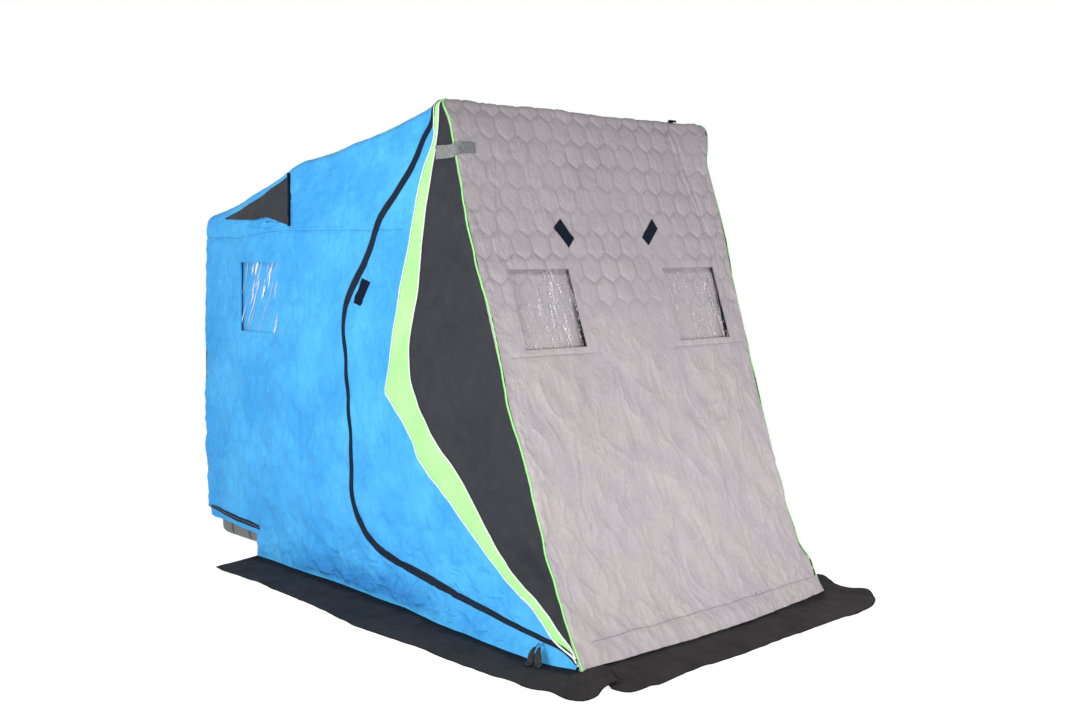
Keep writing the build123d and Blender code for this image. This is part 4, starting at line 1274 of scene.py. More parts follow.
# Long soft folds of the front cloth: places (across, run) from the lower end up, and depth
LONG_FOLDS = (
    (((-0.455, 0.406), (-0.468, 0.529), (-0.441, 0.748)), 0.005), (((-0.395, 0.18), (-0.38, 0.36)), 0.004),
    (((0.33, 0.3), (0.3, 0.52), (0.31, 0.7)), 0.004), (((0.56, 0.56), (0.53, 0.76), (0.545, 0.96)), 0.0045),
    (((-0.12, 0.52), (-0.15, 0.82)), 0.0035), (((0.12, 0.16), (0.08, 0.4)), 0.0035),
)


def front_relief(across, run):
    """Height of the front wall's cloth: quilting above, upright folds low down, creases, seams.

    Just above the ice it puffs out over the pocket of the hem, and it puckers along the piping."""

    def waves(seed, wave, *drawn):
        return ripple(across, run, seed, wave, *drawn)

    def folds(turn, seed, wave, *drawn):
        return crease(*along_fold(across, run, turn), seed, wave, *drawn)

    low, foot = 1 - ease((run - 0.85) / 0.5), 1 - ease((run - 0.04) / 0.22)
    edge = 1 - ease((HALF - np.abs(across)) / 0.1)
    height = quilt(across, run, 5) * (0.18 + 1.15 * ease((run - 1.05) / 0.35))
    height = height + 0.004 * waves(31, 0.5) + 0.001 * waves(32, 0.12)
    height = height + 0.0009 * waves(36, 0.028, 9, 5.0) * (0.4 + 0.6 * waves(37, 0.3))
    height = height + low * (0.003 * waves(33, 0.095, 7, 2.2) + 0.0046 * folds(1.35, 34, 0.12, 2.2))
    height = height + bow_crease(across, run)
    height = height + 0.007 * np.exp(-(((run - 0.036) / 0.024) ** 2)) + dip(run - 0.072, 0.0025, 0.006)
    height = height + foot * (0.0045 * folds(1.2, 35, 0.05, 2.0, 2.0) + 0.002 * waves(38, 0.04))
    height = height + edge * 0.005 * folds(0.35, 39, 0.035, 3.0, 2.0)
    for points, depth in LONG_FOLDS:
        runs, places = np.array(points).T[::-1]
        ends = ease((run - runs[0] + 0.02) / 0.05) * ease((runs[-1] + 0.02 - run) / 0.05)
        beside = across - np.interp(run, runs, places) - 0.004 * ripple(run, 0 * run, 29, 0.11)
        height = height + ends * dip(beside, depth, 0.009)
    beyond = beyond_pane(across, run)
    height = height * ease(beyond / 0.07 + 0.4)
    under = (run < PANE_RUN[0]) & (beyond < 0.07)
    return height + under * dip(run - (PANE_RUN[0] - 0.024), 0.003, 0.005)


def roof_relief(across, run):
    """Height of the roof's and rear wall's cloth: quilting, waves and creases."""
    calm = 0.2 + 0.8 * ease((HALF - np.abs(across)) / 0.2)
    waves = 0.0035 * ripple(across, run, 41, 0.45)
    height = calm * (quilt(across, run, 6) + waves + 0.0012 * ripple(across, run, 42, 0.12))
    height = height + calm * 0.002 * crease(across, run, 43, 0.2)
    for mark in STRIP.marks[1:4]:
        height = height * ease(np.abs(run - mark) / 0.03 + 0.2) + dip(run - mark, 0.0025, 0.006)
    return height


def strip_cloth(node, relief, pitch, outward, runs, places=(-HALF, HALF), holes=()):
    """One panel of the middle strip, whose grid has a line at each of the runs and places."""
    run, across = np.meshgrid(stops(runs, pitch), stops(places, pitch), indexing="ij")
    surface = strip_place(across / HALF, run, relief(across, run))
    uv = np.stack((across, run), -1)
    keep = open_cells(across, run, holes)
    add_cloth(
        f"{node}_cloth", surface, uv, CLOTH, outward, "grey_quilt", [node],
        keep=keep,
    )


def front_wall():
    """The front wall, with both window openings on lines of its grid."""
    edges = [edge for pane in PANES.values() for edge in pane]
    holes = [(*pane, *PANE_RUN) for pane in PANES.values()]
    runs = [0.0, *PANE_RUN, STRIP.marks[1]]
    strip_cloth("front_wall", front_relief, sizes().grid, (0, -1, 0), runs, [-HALF, *edges, HALF], holes)


def roof():
    """Both roof panels and the rear wall, on a wider grid."""
    pitch, marks = sizes().grid * 1.35, STRIP.marks
    strip_cloth("front_roof", roof_relief, pitch, (0, 0, 1), marks[1:3])
    strip_cloth("rear_roof", roof_relief, pitch, (0, 0, 1), marks[2:4])
    strip_cloth("rear_wall", roof_relief, pitch, (0, 1, 0), marks[3:5])


# Sides


def side_cloth(side_name, name, grid, nodes, cloth="blue_quilt", door=False, keep=None, relief=side_relief):
    """One panel of a side, or of its door, from its grid of (back, rise) places."""
    side = SIDES[side_name]
    surface = side_place(side, grid[..., 0], grid[..., 1], 0.0, relief)
    nodes = [f"{side_name}_{node}" for node in nodes]
    holder, door = ("piping_cord", side_name) if door else ("bow_legs", None)
    add_cloth(
        f"{side_name}_{name}", surface, grid, CLOTH, (side, 0, 0), cloth, nodes,
        door, keep,
    )


def between(first, second, pitch):
    """A grid of places from one line to another: each row joins two points that match."""
    widest = float(np.linalg.norm(first - second, axis=1).max())
    share = stops([0.0, 1.0], pitch / max(widest, 1e-6))[None, :, None]
    return first[:, None] * (1 - share) + second[:, None] * share


def rows_for(line, pitch):
    return 3 * max(1, math.ceil(length_of(line) / pitch / 3)) + 1


def part_of(line, low, high):
    """The part of a line whose rise is between two heights, in the line's own order."""
    chosen = line[(line[:, 1] >= low) & (line[:, 1] <= high)]
    rising = line[np.argsort(line[:, 1], kind="stable")]
    ends = [(float(np.interp(height, rising[:, 1], rising[:, 0])), height) for height in (high, low)]
    return np.vstack((ends[0], chosen, ends[1]))


def upper_wall(side_name):
    """The side above its seam: a patch between the zip, the roof's edge, the rear and the seam.

    The patch blends its four edges: the sum of what the two pairs of edges give, less what the
    four corners give."""
    zip_part = part_of(zip_line(900), SIDE_SEAM, 3.0)[::-1]
    zip_part = zip_part[zip_part[:, 1] <= top_end(0.742)[1]]
    rear_top = REAR_TOP[1] - 0.02
    top_back = np.linspace(zip_part[-1, 0], float(STRIP.rear_back(rear_top)) - 0.004, 400)
    top = np.stack((top_back, top_rise(top_back)), -1)
    rear_rise = np.linspace(SIDE_SEAM, top[-1, 1], 60)
    rear = np.stack((STRIP.rear_back(np.minimum(rear_rise, rear_top)), rear_rise), -1)
    rear[:, 0] += (top[-1, 0] - rear[-1, 0]) * np.linspace(0, 1, 60) ** 2
    seam_back = np.linspace(zip_part[0, 0], float(STRIP.rear_back(SIDE_SEAM)), 300)
    seam = np.stack((seam_back, np.full(300, SIDE_SEAM)), -1)
    pitch = sizes().grid
    n, m = rows_for(zip_part, pitch), rows_for(top, pitch)
    left, right, low, high = even(zip_part, n), even(rear, n), even(seam, m), even(top, m)
    v, u = (np.linspace(0, 1, k) for k in (n, m))
    v, u = v[:, None, None], u[None, :, None]
    grid = (1 - v) * low[None] + v * high[None] + (1 - u) * left[:, None] + u * right[:, None]
    grid -= (1 - u) * (1 - v) * low[0] + u * (1 - v) * low[-1] + (1 - u) * v * high[0] + u * v * high[-1]
    side_cloth(side_name, "upper_wall_cloth", grid, ["upper_wall"])


def rear_panel(side_name):
    """The side behind the knee seam: a grid with the window's edges and the notch on its lines."""
    w0, w1, h0, h1 = SIDE_PANE
    hem, settled, bent = 0.15, 0.65, 2.25
    columns = stops([KNEE_SEAM, w0, NOTCH[0], w1, bent, REAR_HEM[0]], sizes().grid)
    rows = stops([GROUND, hem, settled, h0, h1, SIDE_SEAM], sizes().grid)
    v, u = np.meshgrid(rows, columns, indexing="ij")
    foot = np.interp(u, (NOTCH[0], REAR_HEM[0]), (NOTCH[1], REAR_HEM[1]))
    low = GROUND + (v - GROUND) / (hem - GROUND) * (foot - GROUND)
    settling = np.clip(1 - (v - hem) / (settled - hem), 0, 1)
    rise = np.where(v <= hem, low, v + (foot - hem) * settling)
    stretch = np.clip((u - bent) / (REAR_HEM[0] - bent), 0, 1)
    back = u + stretch * (STRIP.rear_back(rise) - REAR_HEM[0])
    keep = open_cells(u, v, ((NOTCH[0], np.inf, -np.inf, hem), SIDE_PANE))
    side_cloth(side_name, "rear_side_cloth", np.stack((back, rise), -1), ["side_wall"], keep=keep)


def lower_wall(side_name):
    """The side between the zip and the knee seam, and the sill below the door.

    The zip's turn at the door's foot is matched with the seam's foot, a share along each line."""
    zip_part = part_of(zip_line(900), 0.0, SIDE_SEAM)
    n = rows_for(zip_part, sizes().grid * 1.15)
    seam_foot = (KNEE_SEAM, GROUND)
    upright = np.vstack((
        even(np.array(((KNEE_SEAM, SIDE_SEAM), (KNEE_SEAM, GROUND + 0.12))), 200),
        even(np.array(((KNEE_SEAM, GROUND + 0.11), seam_foot)), 20)[:-1],
    ))
    level = even(np.array(((KNEE_SEAM - 0.002, GROUND), (CORNER_FOOT[0] - 0.012, GROUND))), 300)
    level = np.vstack((seam_foot, level))
    turn = int(round(n * 0.44))
    outer = np.vstack((even(np.vstack((upright, seam_foot)), turn), even(level, n - turn + 1)[1:]))
    line = even(zip_part, 1200)
    corner = int(np.argmin(np.abs(line - ZIP_TURN).sum(-1)))
    inner = np.vstack((even(line[: corner + 1], turn), even(line[corner:], n - turn + 1)[1:]))
    side_cloth(
        side_name, "lower_wall_cloth", between(inner, outer, sizes().grid * 1.1),
        ["door_sill", "side_wall"],
    )


def door_relief(back, rise):
    """Height of the smooth front panel: soft folds, and puckers that run back from the corner."""
    free = sewn().free(back, rise, 0.035)
    behind = np.clip(back - rise * LEAN, 0, None)
    height = (
        0.004 * ripple(back, rise, 62, 0.16)
        + 0.0065 * crease(*along_fold(back, rise, 1.0), 63, 0.15, 2.6, 1.5)
    )
    height = (
        height
        + 0.0045 * crease(*along_fold(back, rise, 0.15), 64, 0.06, 3.0, 1.5)
        * np.exp(-((behind / 0.12) ** 2))
    )
    return slow_waves(back, rise) + free * (height - 0.002)


def door(side_name):
    """The door's three cloths: quilted, bright stripe and smooth front panel."""
    count, pitch = 1500, sizes().grid
    zip_points, stripe, panel = zip_line(count), stripe_line(count), panel_line(count)
    edge = front_edge(count)[::-1]
    cloths = (
        ("door", zip_points, 1.15, stripe, zip_points, 1.0, "blue_quilt", side_relief),
        ("stripe", stripe, 1.5, panel, stripe, 1.3, "lime", slow_waves),
        ("panel", edge, 1.3, edge, panel, 1.2, "black", door_relief),
    )
    for name, longest, coarse, first, second, wide, cloth, relief in cloths:
        n = rows_for(longest, pitch * coarse)
        grid = between(even(first, n), even(second, n), pitch * wide)
        node = "door" if name == "door" else f"door_{name}"
        side_cloth(side_name, f"{name}_cloth", grid, [node], cloth, True, relief=relief)


def side_ribbon(
    side_name, name, line, low, high, proud, thickness, tape, nodes=(), door=None, crown=0.0, steps=5,
    width=1.0,
):
    """A tape on the side's cloth that follows a line, from one offset beside it to another.

    Its middle stands `crown` above its edges, as a parabola, and `width` scales it along the line."""
    side = SIDES[side_name]
    slope = heading(line)
    beside = np.stack((slope[:, 1], -slope[:, 0]), -1)
    offset = np.linspace(low, high, steps)
    wide = offset[None, :] * np.broadcast_to(width, len(line))[:, None]
    grid = line[:, None] + beside[:, None] * wide[..., None]
    height = proud + crown * (1 - np.linspace(-1, 1, steps)[None, :] ** 2)
    surface = side_place(side, grid[..., 0], np.maximum(grid[..., 1], GROUND), height, slow_waves)
    uv = np.stack(np.broadcast_arrays(run_along(line)[:, None], offset[None, :]), -1)
    nodes = [f"{side_name}_{node}" for node in nodes]
    add_tape(f"{side_name}_{name}", surface, uv, thickness, (side, 0, 0), tape, nodes, door)


def zips(side_name):
    """Both halves of the zip: a tape on the wall and one on the door, each with half the coil.

    The zip narrows where it turns under the stripe's foot."""
    line = zip_line(700)
    half, gap = sizes().zip_width / 2, 0.0003
    width = np.interp(run_along(line), ZIP_ALONG, ZIP_SHARE)
    for name, low, high, door in (("wall", gap, half, None), ("door", -half, -gap, side_name)):
        side_ribbon(
            side_name, f"{name}_zip_tape", line, low, high, 0.0024, 0.002, "zip", [f"{name}_zip"], door,
            0.0014, width=width,
        )


def stripe_edges(side_name):
    """Pale tapes along both edges of the stripe."""
    wide = sizes().edging / 2
    for name, line, proud in (
        ("front_edging", panel_line(600), 0.003), ("rear_edging", stripe_line(600), 0.0036),
    ):
        side_ribbon(side_name, name, line, -wide, wide, proud, 0.0026, "edging", (), side_name, 0.0008)


def edge_path(side):
    """The piping's path: up the front edge, over the corner, and back along the roof's edge.

    The cord lies a little behind the corner, on the side."""
    count = 560
    line = front_edge(count)
    up = side_place(side, line[:, 0] + (0.0005 if side < 0 else 0.0025), line[:, 1], 0.0, slow_waves)
    up[:, 0] += side * 0.0012
    back = np.linspace(PEAK[0] + 0.02, REAR_TOP[0] - 0.01, 260)
    widen = edge_in[side](PEAK[1]) * ease((ROOF_REACH - back + PEAK[0]) / ROOF_REACH)
    top = STRIP.roof_height(back)
    sunk = 0.0045 * ease((back - 0.78) / 0.1) * ease((2.36 - back) / 0.05)
    x = side * (HALF - sizes().wrap - widen)
    roof_line = np.stack((x, back + FRONT, top - sunk + ridge_lift(back, top) * (side < 0)), -1)
    return even(np.vstack((up, roof_line)), count)


def piping(side_name):
    """Piping cord sewn between the side and the strip, and the folded tape that holds it."""
    side, radius = SIDES[side_name], sizes().piping / 2
    path = edge_path(side)
    along = heading(path)
    out = path - np.array((0.0, 0.9, 0.9))
    out = unit(out - along * np.sum(out * along, axis=1, keepdims=True))
    across = unit(np.cross(along, out))
    wobble = 0.0011 * ripple(np.linspace(0, 4, len(path)), 0, 71 + side, 0.12)[:, None]
    for name, proud, outline, cloth, nodes in (
        ("cord", radius * 0.75, disc(radius, 10), "piping", [f"{side_name}_piping"]),
        ("tape", 0.0002, bar_outline(0.0072, 0.0026, 0.0009), "piping_tape", ()),
    ):
        middle = path + out * proud + across * wobble
        add_bar(f"{side_name}_piping_{name}", middle, across, out, outline, cloth, nodes)


# Windows


def pane_grid(low, high, bottom, top, beyond, pitch, group=1):
    """A grid of places over an opening and a rim beyond it."""
    u = stops([low - beyond, high + beyond], pitch, group)
    v = stops([bottom - beyond, top + beyond], pitch, group)
    return np.meshgrid(u, v, indexing="ij")


def pane_relief(u, v, seed):
    """Ripples of a clear pane: upright strings of small dents on slow waves."""
    strings = crease(u, v, seed, 0.05, 5.0, 3.0) * (0.5 + 0.5 * ripple(u, v, seed + 1, 0.02))
    waves = 0.8 * ripple(u, v, seed + 2, 0.14, 6, 2.5)
    return sizes().pane_ripple * (waves + 0.7 * strings + 0.25 * ripple(u, v, seed + 3, 0.03))


def flap_depth(u, v, box, slackness, seed):
    """How far behind the wall a window's flap hangs: close by, and slack at the top and one side."""
    low, high, bottom, top = box
    slack = ease((u - high + 0.07) / 0.07)
    fall = 0.35 + 0.65 * (top - v) / (top - bottom)
    depth = 0.0078 + slackness * slack * np.clip(fall, 0, 1.2) + 0.006 * ease((v - top + 0.02) / 0.02)
    return depth - 0.0022 * ripple(u, v, seed, 0.16) - 0.0012 * crease(u, v, seed + 2, 0.08, 2.0)


def window(names, box, place, outward, seed, film, cloth, behind, lean, slackness, taper):
    """A clear pane inside an opening, and the cloth flap that hangs behind it."""
    pane_name, pane_node, flap_name = names
    u, v = pane_grid(*box, 0.014, 0.004)
    surface = place(u, v, -CLOTH - 0.004 + pane_relief(u - lean * v, v, seed))
    add_tape(pane_name, surface, np.stack((u, v), -1), 0.0007, outward, film, [pane_node])
    u, v = pane_grid(*box, 0.024, sizes().grid, 3)
    low, high, bottom, top = box
    u = u - taper * np.clip((top - v) / (top - bottom), 0, 1) * np.clip((u - low) / (high - low), 0, 1.1)
    surface = place(u, v, -CLOTH - flap_depth(u, v, box, slackness, seed + 10))
    uv = np.stack((u, v), -1)
    add_cloth(flap_name, surface, uv, THIN_CLOTH, outward, cloth, ["window_flaps"])


def windows():
    """Clear panes inside the openings, and the cloth flaps that hang behind them."""

    def on_front(u, v, height):
        return strip_place(u / HALF, v, height)

    for number, (name, side) in enumerate(SIDES.items()):

        def on_side(u, v, height, side=side):
            return side_place(side, u, v, height, slow_waves)

        names = (f"front_{name}_pane", f"front_{name}_window", f"front_{name}_flap")
        box = (*PANES[name], *PANE_RUN)
        window(
            names, box, on_front, (0, -1, 0), 80 + number, "vinyl", "grey_quilt", "front_wall_cloth", 0.0,
            0.016, 0.02,
        )
        names = (f"{name}_side_pane", f"{name}_window", f"{name}_side_flap")
        behind = f"{name}_rear_side_cloth"
        window(
            names, SIDE_PANE, on_side, (side, 0, 0), 84 + number, "side_vinyl", "blue_quilt", behind, 0.35,
            0.006, 0.0,
        )


# Vents, patches, tabs and straps


VENT_TOP = ((1.739, 1.69), (1.793, 1.669), (1.893, 1.634), (1.971, 1.604), (2.133, 1.555), (2.29, 1.517))
VENT_HEM = (
    (1.739, 1.478), (1.8, 1.49), (1.86, 1.503), (1.915, 1.5145), (1.955, 1.5135), (1.985, 1.509),
    (2.03, 1.504), (2.106, 1.506), (2.205, 1.508), (2.29, 1.51),
)


def vents():
    """Hoods under the roof's edge: a taut cloth whose hem stands off the side on a short post.

    The hem stands off as a half wave along its length, raised to 0.7, and the cloth runs straight
    from it to its seam with the roof's edge."""
    pitch = sizes().grid
    high, low = curve_through(VENT_TOP, 1200), curve_through(VENT_HEM, 1200)
    rows = rows_for(high, pitch * 1.3)
    flat = between(even(high, rows), even(low, rows), pitch)
    start, end = VENT_TOP[0][0], VENT_TOP[-1][0]
    along = np.clip((flat[..., 0] - start) / (end - start), 0, 1)
    down = np.broadcast_to(np.linspace(0, 1, flat.shape[1])[None, :], along.shape)
    stand = sizes().vent_lift * np.sin(math.pi * np.clip(along * 0.86 + 0.14, 0, 1)) ** 0.7 * down
    grid = flat - np.stack((1.1 * stand * down, 0 * stand), -1)
    height = stand + 0.003 + 0.0006 * ripple(along * 0.5, down * 0.1, 101, 0.09)
    post = even(np.array(((1.736, 1.696), (1.733, 1.474))), 40)
    for name, side in SIDES.items():
        surface = side_place(side, grid[..., 0], grid[..., 1], height, slow_waves)
        add_cloth(
            f"{name}_vent_hood", surface, grid, 0.0016, (side, 0, 0), "vent", [f"{name}_vent"],
        )
        side_ribbon(
            name, "vent_post", post, -0.005, 0.005, 0.013, 0.012, "hem", crown=0.002,
        )


def flat_patch(name, corners, place, nodes=(), door=None, outward=(0, -1, 0)):
    """A small flat piece on the cloth: a grid between four corners with softly rounded rims."""
    columns, rows, thickness = 12, 8, 0.0026
    a, b, c, d = (np.asarray(corner, float) for corner in corners)
    u, v = np.meshgrid(np.linspace(0, 1, columns + 1), np.linspace(0, 1, rows + 1), indexing="ij")
    rim = np.minimum(np.minimum(u, 1 - u) * columns, np.minimum(v, 1 - v) * rows)
    u, v = u[..., None], v[..., None]
    grid = (a * (1 - u) + b * u) * (1 - v) + (d * (1 - u) + c * u) * v
    surface = place(grid, thickness - 0.0008 * (rim < 0.5))
    add_tape(name, surface, grid, thickness, outward, "patch", nodes, door)


def front_place(grid, proud):
    """Where (across, run) places on the front wall's cloth are, with `proud` more height."""
    across, run = grid[..., 0], grid[..., 1]
    return strip_place(across / HALF, run, front_relief(across, run), proud)


PATCHES = {
    "left": ((-0.2497, 1.5884), (-0.201, 1.5095), (-0.2359, 1.4745), (-0.293, 1.553)),
    "right": ((0.2615, 1.5974), (0.2863, 1.5575), (0.2073, 1.4857), (0.1784, 1.5179)),
}
ZIP_TAB = ((1.206, 1.2659), (1.1565, 1.2502), (1.2214, 1.1551), (1.2696, 1.1665))


def patches():
    """Hook-tape patches on the front wall, the ridge tab, and a tab beside each door's zip."""
    for name, corners in PATCHES.items():
        nodes = ["front_patches"] if name == "left" else ()
        flat_patch(f"front_patch_{name}", corners, front_place, nodes)
    middle = np.array((HALF - 0.15, PEAK[0] + FRONT + 0.004, PEAK[1] - 0.002))
    turn = np.linspace(0, math.pi, 15)
    path = middle + np.stack((np.zeros(15), 0.01 * np.cos(turn), 0.009 * np.sin(turn)), -1)
    across = np.tile(np.array((1.0, 0.0, 0.0)), (15, 1))
    up = unit(np.cross(across, heading(path)))
    add_bar("ridge_tab", path, across, up, bar_outline(0.034, 0.003, 0.001), "patch")
    for name, side in SIDES.items():

        def place(grid, proud, side=side):
            return side_place(side, grid[..., 0], grid[..., 1], proud)

        flat_patch(f"{name}_zip_tab", ZIP_TAB, place, [f"{name}_door_tab"], name, (side, 0, 0))


def corner_strap():
    """Reflective webbing over the left front corner: one band from the front wall to the door.

    Each half is ruled between its upper and lower edges; round the corner they blend, and the band
    arches over the piping."""
    reach, wide = (-0.104, 0.109), 0.046
    u, w = np.meshgrid(np.linspace(*reach, 80), np.linspace(0, 1, 11), indexing="ij")

    def ruled(share, upper, lower):
        share = np.clip(share, 0, 1)[..., None]
        ends = [
            np.array(start) + (np.array(end) - np.array(start)) * share for start, end in (upper, lower)
        ]
        return ends[1] * (1 - w[..., None]) + ends[0] * w[..., None]

    front = ruled(u / reach[1], ((-0.701, 1.862), (-0.6, 1.868)), ((-0.701, 1.817), (-0.607, 1.827)))
    beside = ruled(u / reach[0], ((0.6345, 1.748), (0.7364, 1.751)), ((0.6235, 1.704), (0.7289, 1.702)))
    curl = 0.0008 * ripple(u, w * 0.045, 111, 0.06)
    on_front = front_place(front, 0.005 + curl)
    on_side = side_place(-1, beside[..., 0], beside[..., 1], 0.0055 + curl, door_relief)
    blend = ease((u + 0.014) / 0.028)[..., None]
    arch = (np.exp(-((u / 0.015) ** 2)) * 0.0065)[..., None]
    surface = on_side * (1 - blend) + on_front * blend + np.array((-0.7, -0.7, 0.1)) * arch
    nodes = ["corner_strap", "left_door_strap"]
    add_tape(
        "corner_strap_band", surface, np.stack((u, w * wide), -1), 0.0015, (-0.7, -0.7, 0), "webbing",
        nodes, "left",
    )


# Skirt


def skirt_band(name, stations, nodes, lift=lambda share, x, y: 0.0):
    """One band of the skirt: cloth on the ice, ruled between its inner and outer edges.

    Its height is slow waves and a few humps, which grow from the inner edge outward, and `lift`
    raises it by a height that depends on the share of the way out and the place."""
    count = 3 * int(length_of(np.asarray(stations)[:, 2:]) / 0.026) + 1
    line = curve_through(stations, count)
    inner, outer = line[:, :2], line[:, 2:]
    share = stops([0.0, 1.0], 0.0085 / SKIRT_WIDE)[None, :, None]
    flat = inner[:, None] * (1 - share) + outer[:, None] * share
    u, v = np.broadcast_arrays(run_along(outer)[:, None], share[..., 0])
    free = ease((v - 0.1) / 0.35)
    x, y = flat[..., 0], flat[..., 1]
    fold = sizes().skirt_fold
    height = fold * 0.22 * (1 + ripple(x, y, 121, 0.42)) + fold * 0.2 * crease(x, y, 122, 0.24, 1.0, 2.0)
    height = height + fold * 0.06 * (1 + ripple(x, y, 123, 0.07))
    for cx, cy, wide_x, wide_y, tall in SKIRT_HUMPS:
        height = height + tall * np.exp(-(((x - cx) / wide_x) ** 2) - ((y - cy) / wide_y) ** 2)
    z = 0.0034 + np.maximum(height, 0) * free + lift(v, x, y)
    surface = np.stack((x, y + FRONT, z), -1)
    uv = np.stack((u, v * SKIRT_WIDE), -1)
    add_cloth(name, surface, uv, 0.0024, (0, 0, 1), "skirt", nodes)
    path = surface[:, -1][::2] + np.array((0.0, 0.0, -0.0008))
    up = np.tile(np.array((0.0, 0.0, 1.0)), (len(path), 1))
    add_bar(f"{name}_hem", path, unit(np.cross(heading(path), up)), up, disc(0.0019, 6), "skirt")


def skirt():
    """The skirt's two bands: one along the left side to the corner, over the end of the other."""

    def corner_lift(share, x, y):
        ahead = ease((-0.02 - y) / 0.1) * ease((x + 0.86) / 0.12)
        return ahead * (0.0035 + 0.009 * share**2)

    skirt_band("left_skirt_band", LEFT_SKIRT, ["left_skirt"], corner_lift)
    skirt_band("front_skirt_band", FRONT_SKIRT, ["front_skirt", "right_skirt"])


# Hem, lower band and pulls


# Along the rear hem, by place behind the front foot: its height, the tape's width as a share of
# the full one, and the height of the lower band's foot
HEM_LINE = ((2.026, 0.1345), (2.263, 0.15), (2.51, 0.17))
HEM_WIDTH = ((2.026, 0.75), (2.12, 1.0), (2.3, 0.95), (2.51, 0.55))
BAND_FOOT = (
    (2.049, 0.099), (2.08, 0.101), (2.2, 0.105), (2.313, 0.114), (2.41, 0.117), (2.459, 0.116),
    (2.492, 0.122), (2.4976, 0.15),
)


def hems():
    """The dark tape round the rear of the cover and the band that hangs below it."""
    tape = 0.024
    back = np.linspace(2.026, float(STRIP.rear_back(REAR_HEM[1])) - 0.001, 90)
    line = np.stack((back, np.interp(back, *np.array(HEM_LINE).T)), -1)
    width = np.interp(back, *np.array(HEM_WIDTH).T)
    u, v = np.meshgrid(stops([NOTCH[0], 2.46, 2.4976], 0.009), stops([0.0, 1.0], 0.09), indexing="ij")
    low = np.interp(u, *np.array(BAND_FOOT).T)
    rise = low + v * (0.225 - low)
    uv = np.stack((u, rise), -1)
    for name, side in SIDES.items():
        side_ribbon(
            name, "hem_tape_band", line, -tape / 2, tape / 2, 0.0035, 0.0046, "hem", crown=0.0008,
            width=width,
        )
        pale = line + np.array((0.0, 0.0012))
        side_ribbon(name, "hem_tape_line", pale, -0.0011, 0.0011, 0.005, 0.0012, "hem_line", steps=3)
        x = side * (HALF - CLOTH - 0.0035 + 0.0008 * ripple(u, rise, 131, 0.12))
        surface = np.stack((x, u + FRONT, rise), -1)
        add_cloth(
            f"{name}_lower_band_cloth", surface, uv, THIN_CLOTH, (side, 0, 0), "blue_quilt", ["lower_band"],
        )
    across, up = np.meshgrid(np.linspace(-HALF, HALF, 60), np.linspace(0, tape, 5), indexing="ij")
    run = STRIP.marks[4] - up
    surface = strip_place(across / HALF, run, roof_relief(across, run) + 0.003)
    add_tape(
        "rear_hem_tape_band", surface, np.stack((across, up), -1), 0.0026, (0, 1, 0), "hem", ["hem_tape"],
    )


# The pulls: where the cord starts on the side, and the tag's foot and its rest on the skirt
PULLS = (
    ((0.112, 0.058), (-0.829, 0.0925), (-0.813, 0.086)), ((0.097, 0.06), (-0.823, 0.05), (-0.808, 0.052)),
)


def pulls():
    """Two tag pulls at the foot of each zip, hung by short cords over the sill onto the skirt.

    The right zip stands a little further back than the left one."""
    for side_name, side in SIDES.items():
        behind = 0.07 * (side > 0)
        for number, (top, foot, rest) in enumerate(PULLS):
            start = np.array(top) + behind * np.array((1.0, 0.11))
            start = side_place(side, start[0], start[1], 0.007)
            foot = np.array((side * -foot[0], foot[1] + FRONT + behind, 0.0125))
            rest = np.array((side * -rest[0], rest[1] + FRONT + behind, 0.0165))
            bend = start * 0.55 + rest * 0.45 + np.array((side * 0.01, 0.0, 0.006))
            path = curve_through((start, bend, rest, foot), 60)
            loop, line = path[:20], path[15:]
            along = heading(loop)
            across = unit(np.cross(along, np.array((0.0, 1.0, 0.02))))
            up = unit(np.cross(across, along))
            add_bar(f"{side_name}_pull_cord_{number}", loop, across, up, disc(0.0021, 8), "cord")
            along = heading(line)
            level = unit(np.cross(along, np.array((0.0, 0.0, 1.0))))
            up = unit(np.cross(level, along))
            t = np.linspace(0, 1, len(line))
            wide = 0.42 + 0.58 * ease(t / 0.55) - 0.1 * ease((t - 0.93) / 0.07)
            outline = bar_outline(0.024, 0.005, 0.0016)
            add_bar(
                f"{side_name}_pull_grip_{number}", line, level * wide[:, None], up, outline, "pull",
                ["zip_pulls"],
            )


TUB_GROOVES = tuple(2.405 - 0.165 * step for step in range(14))


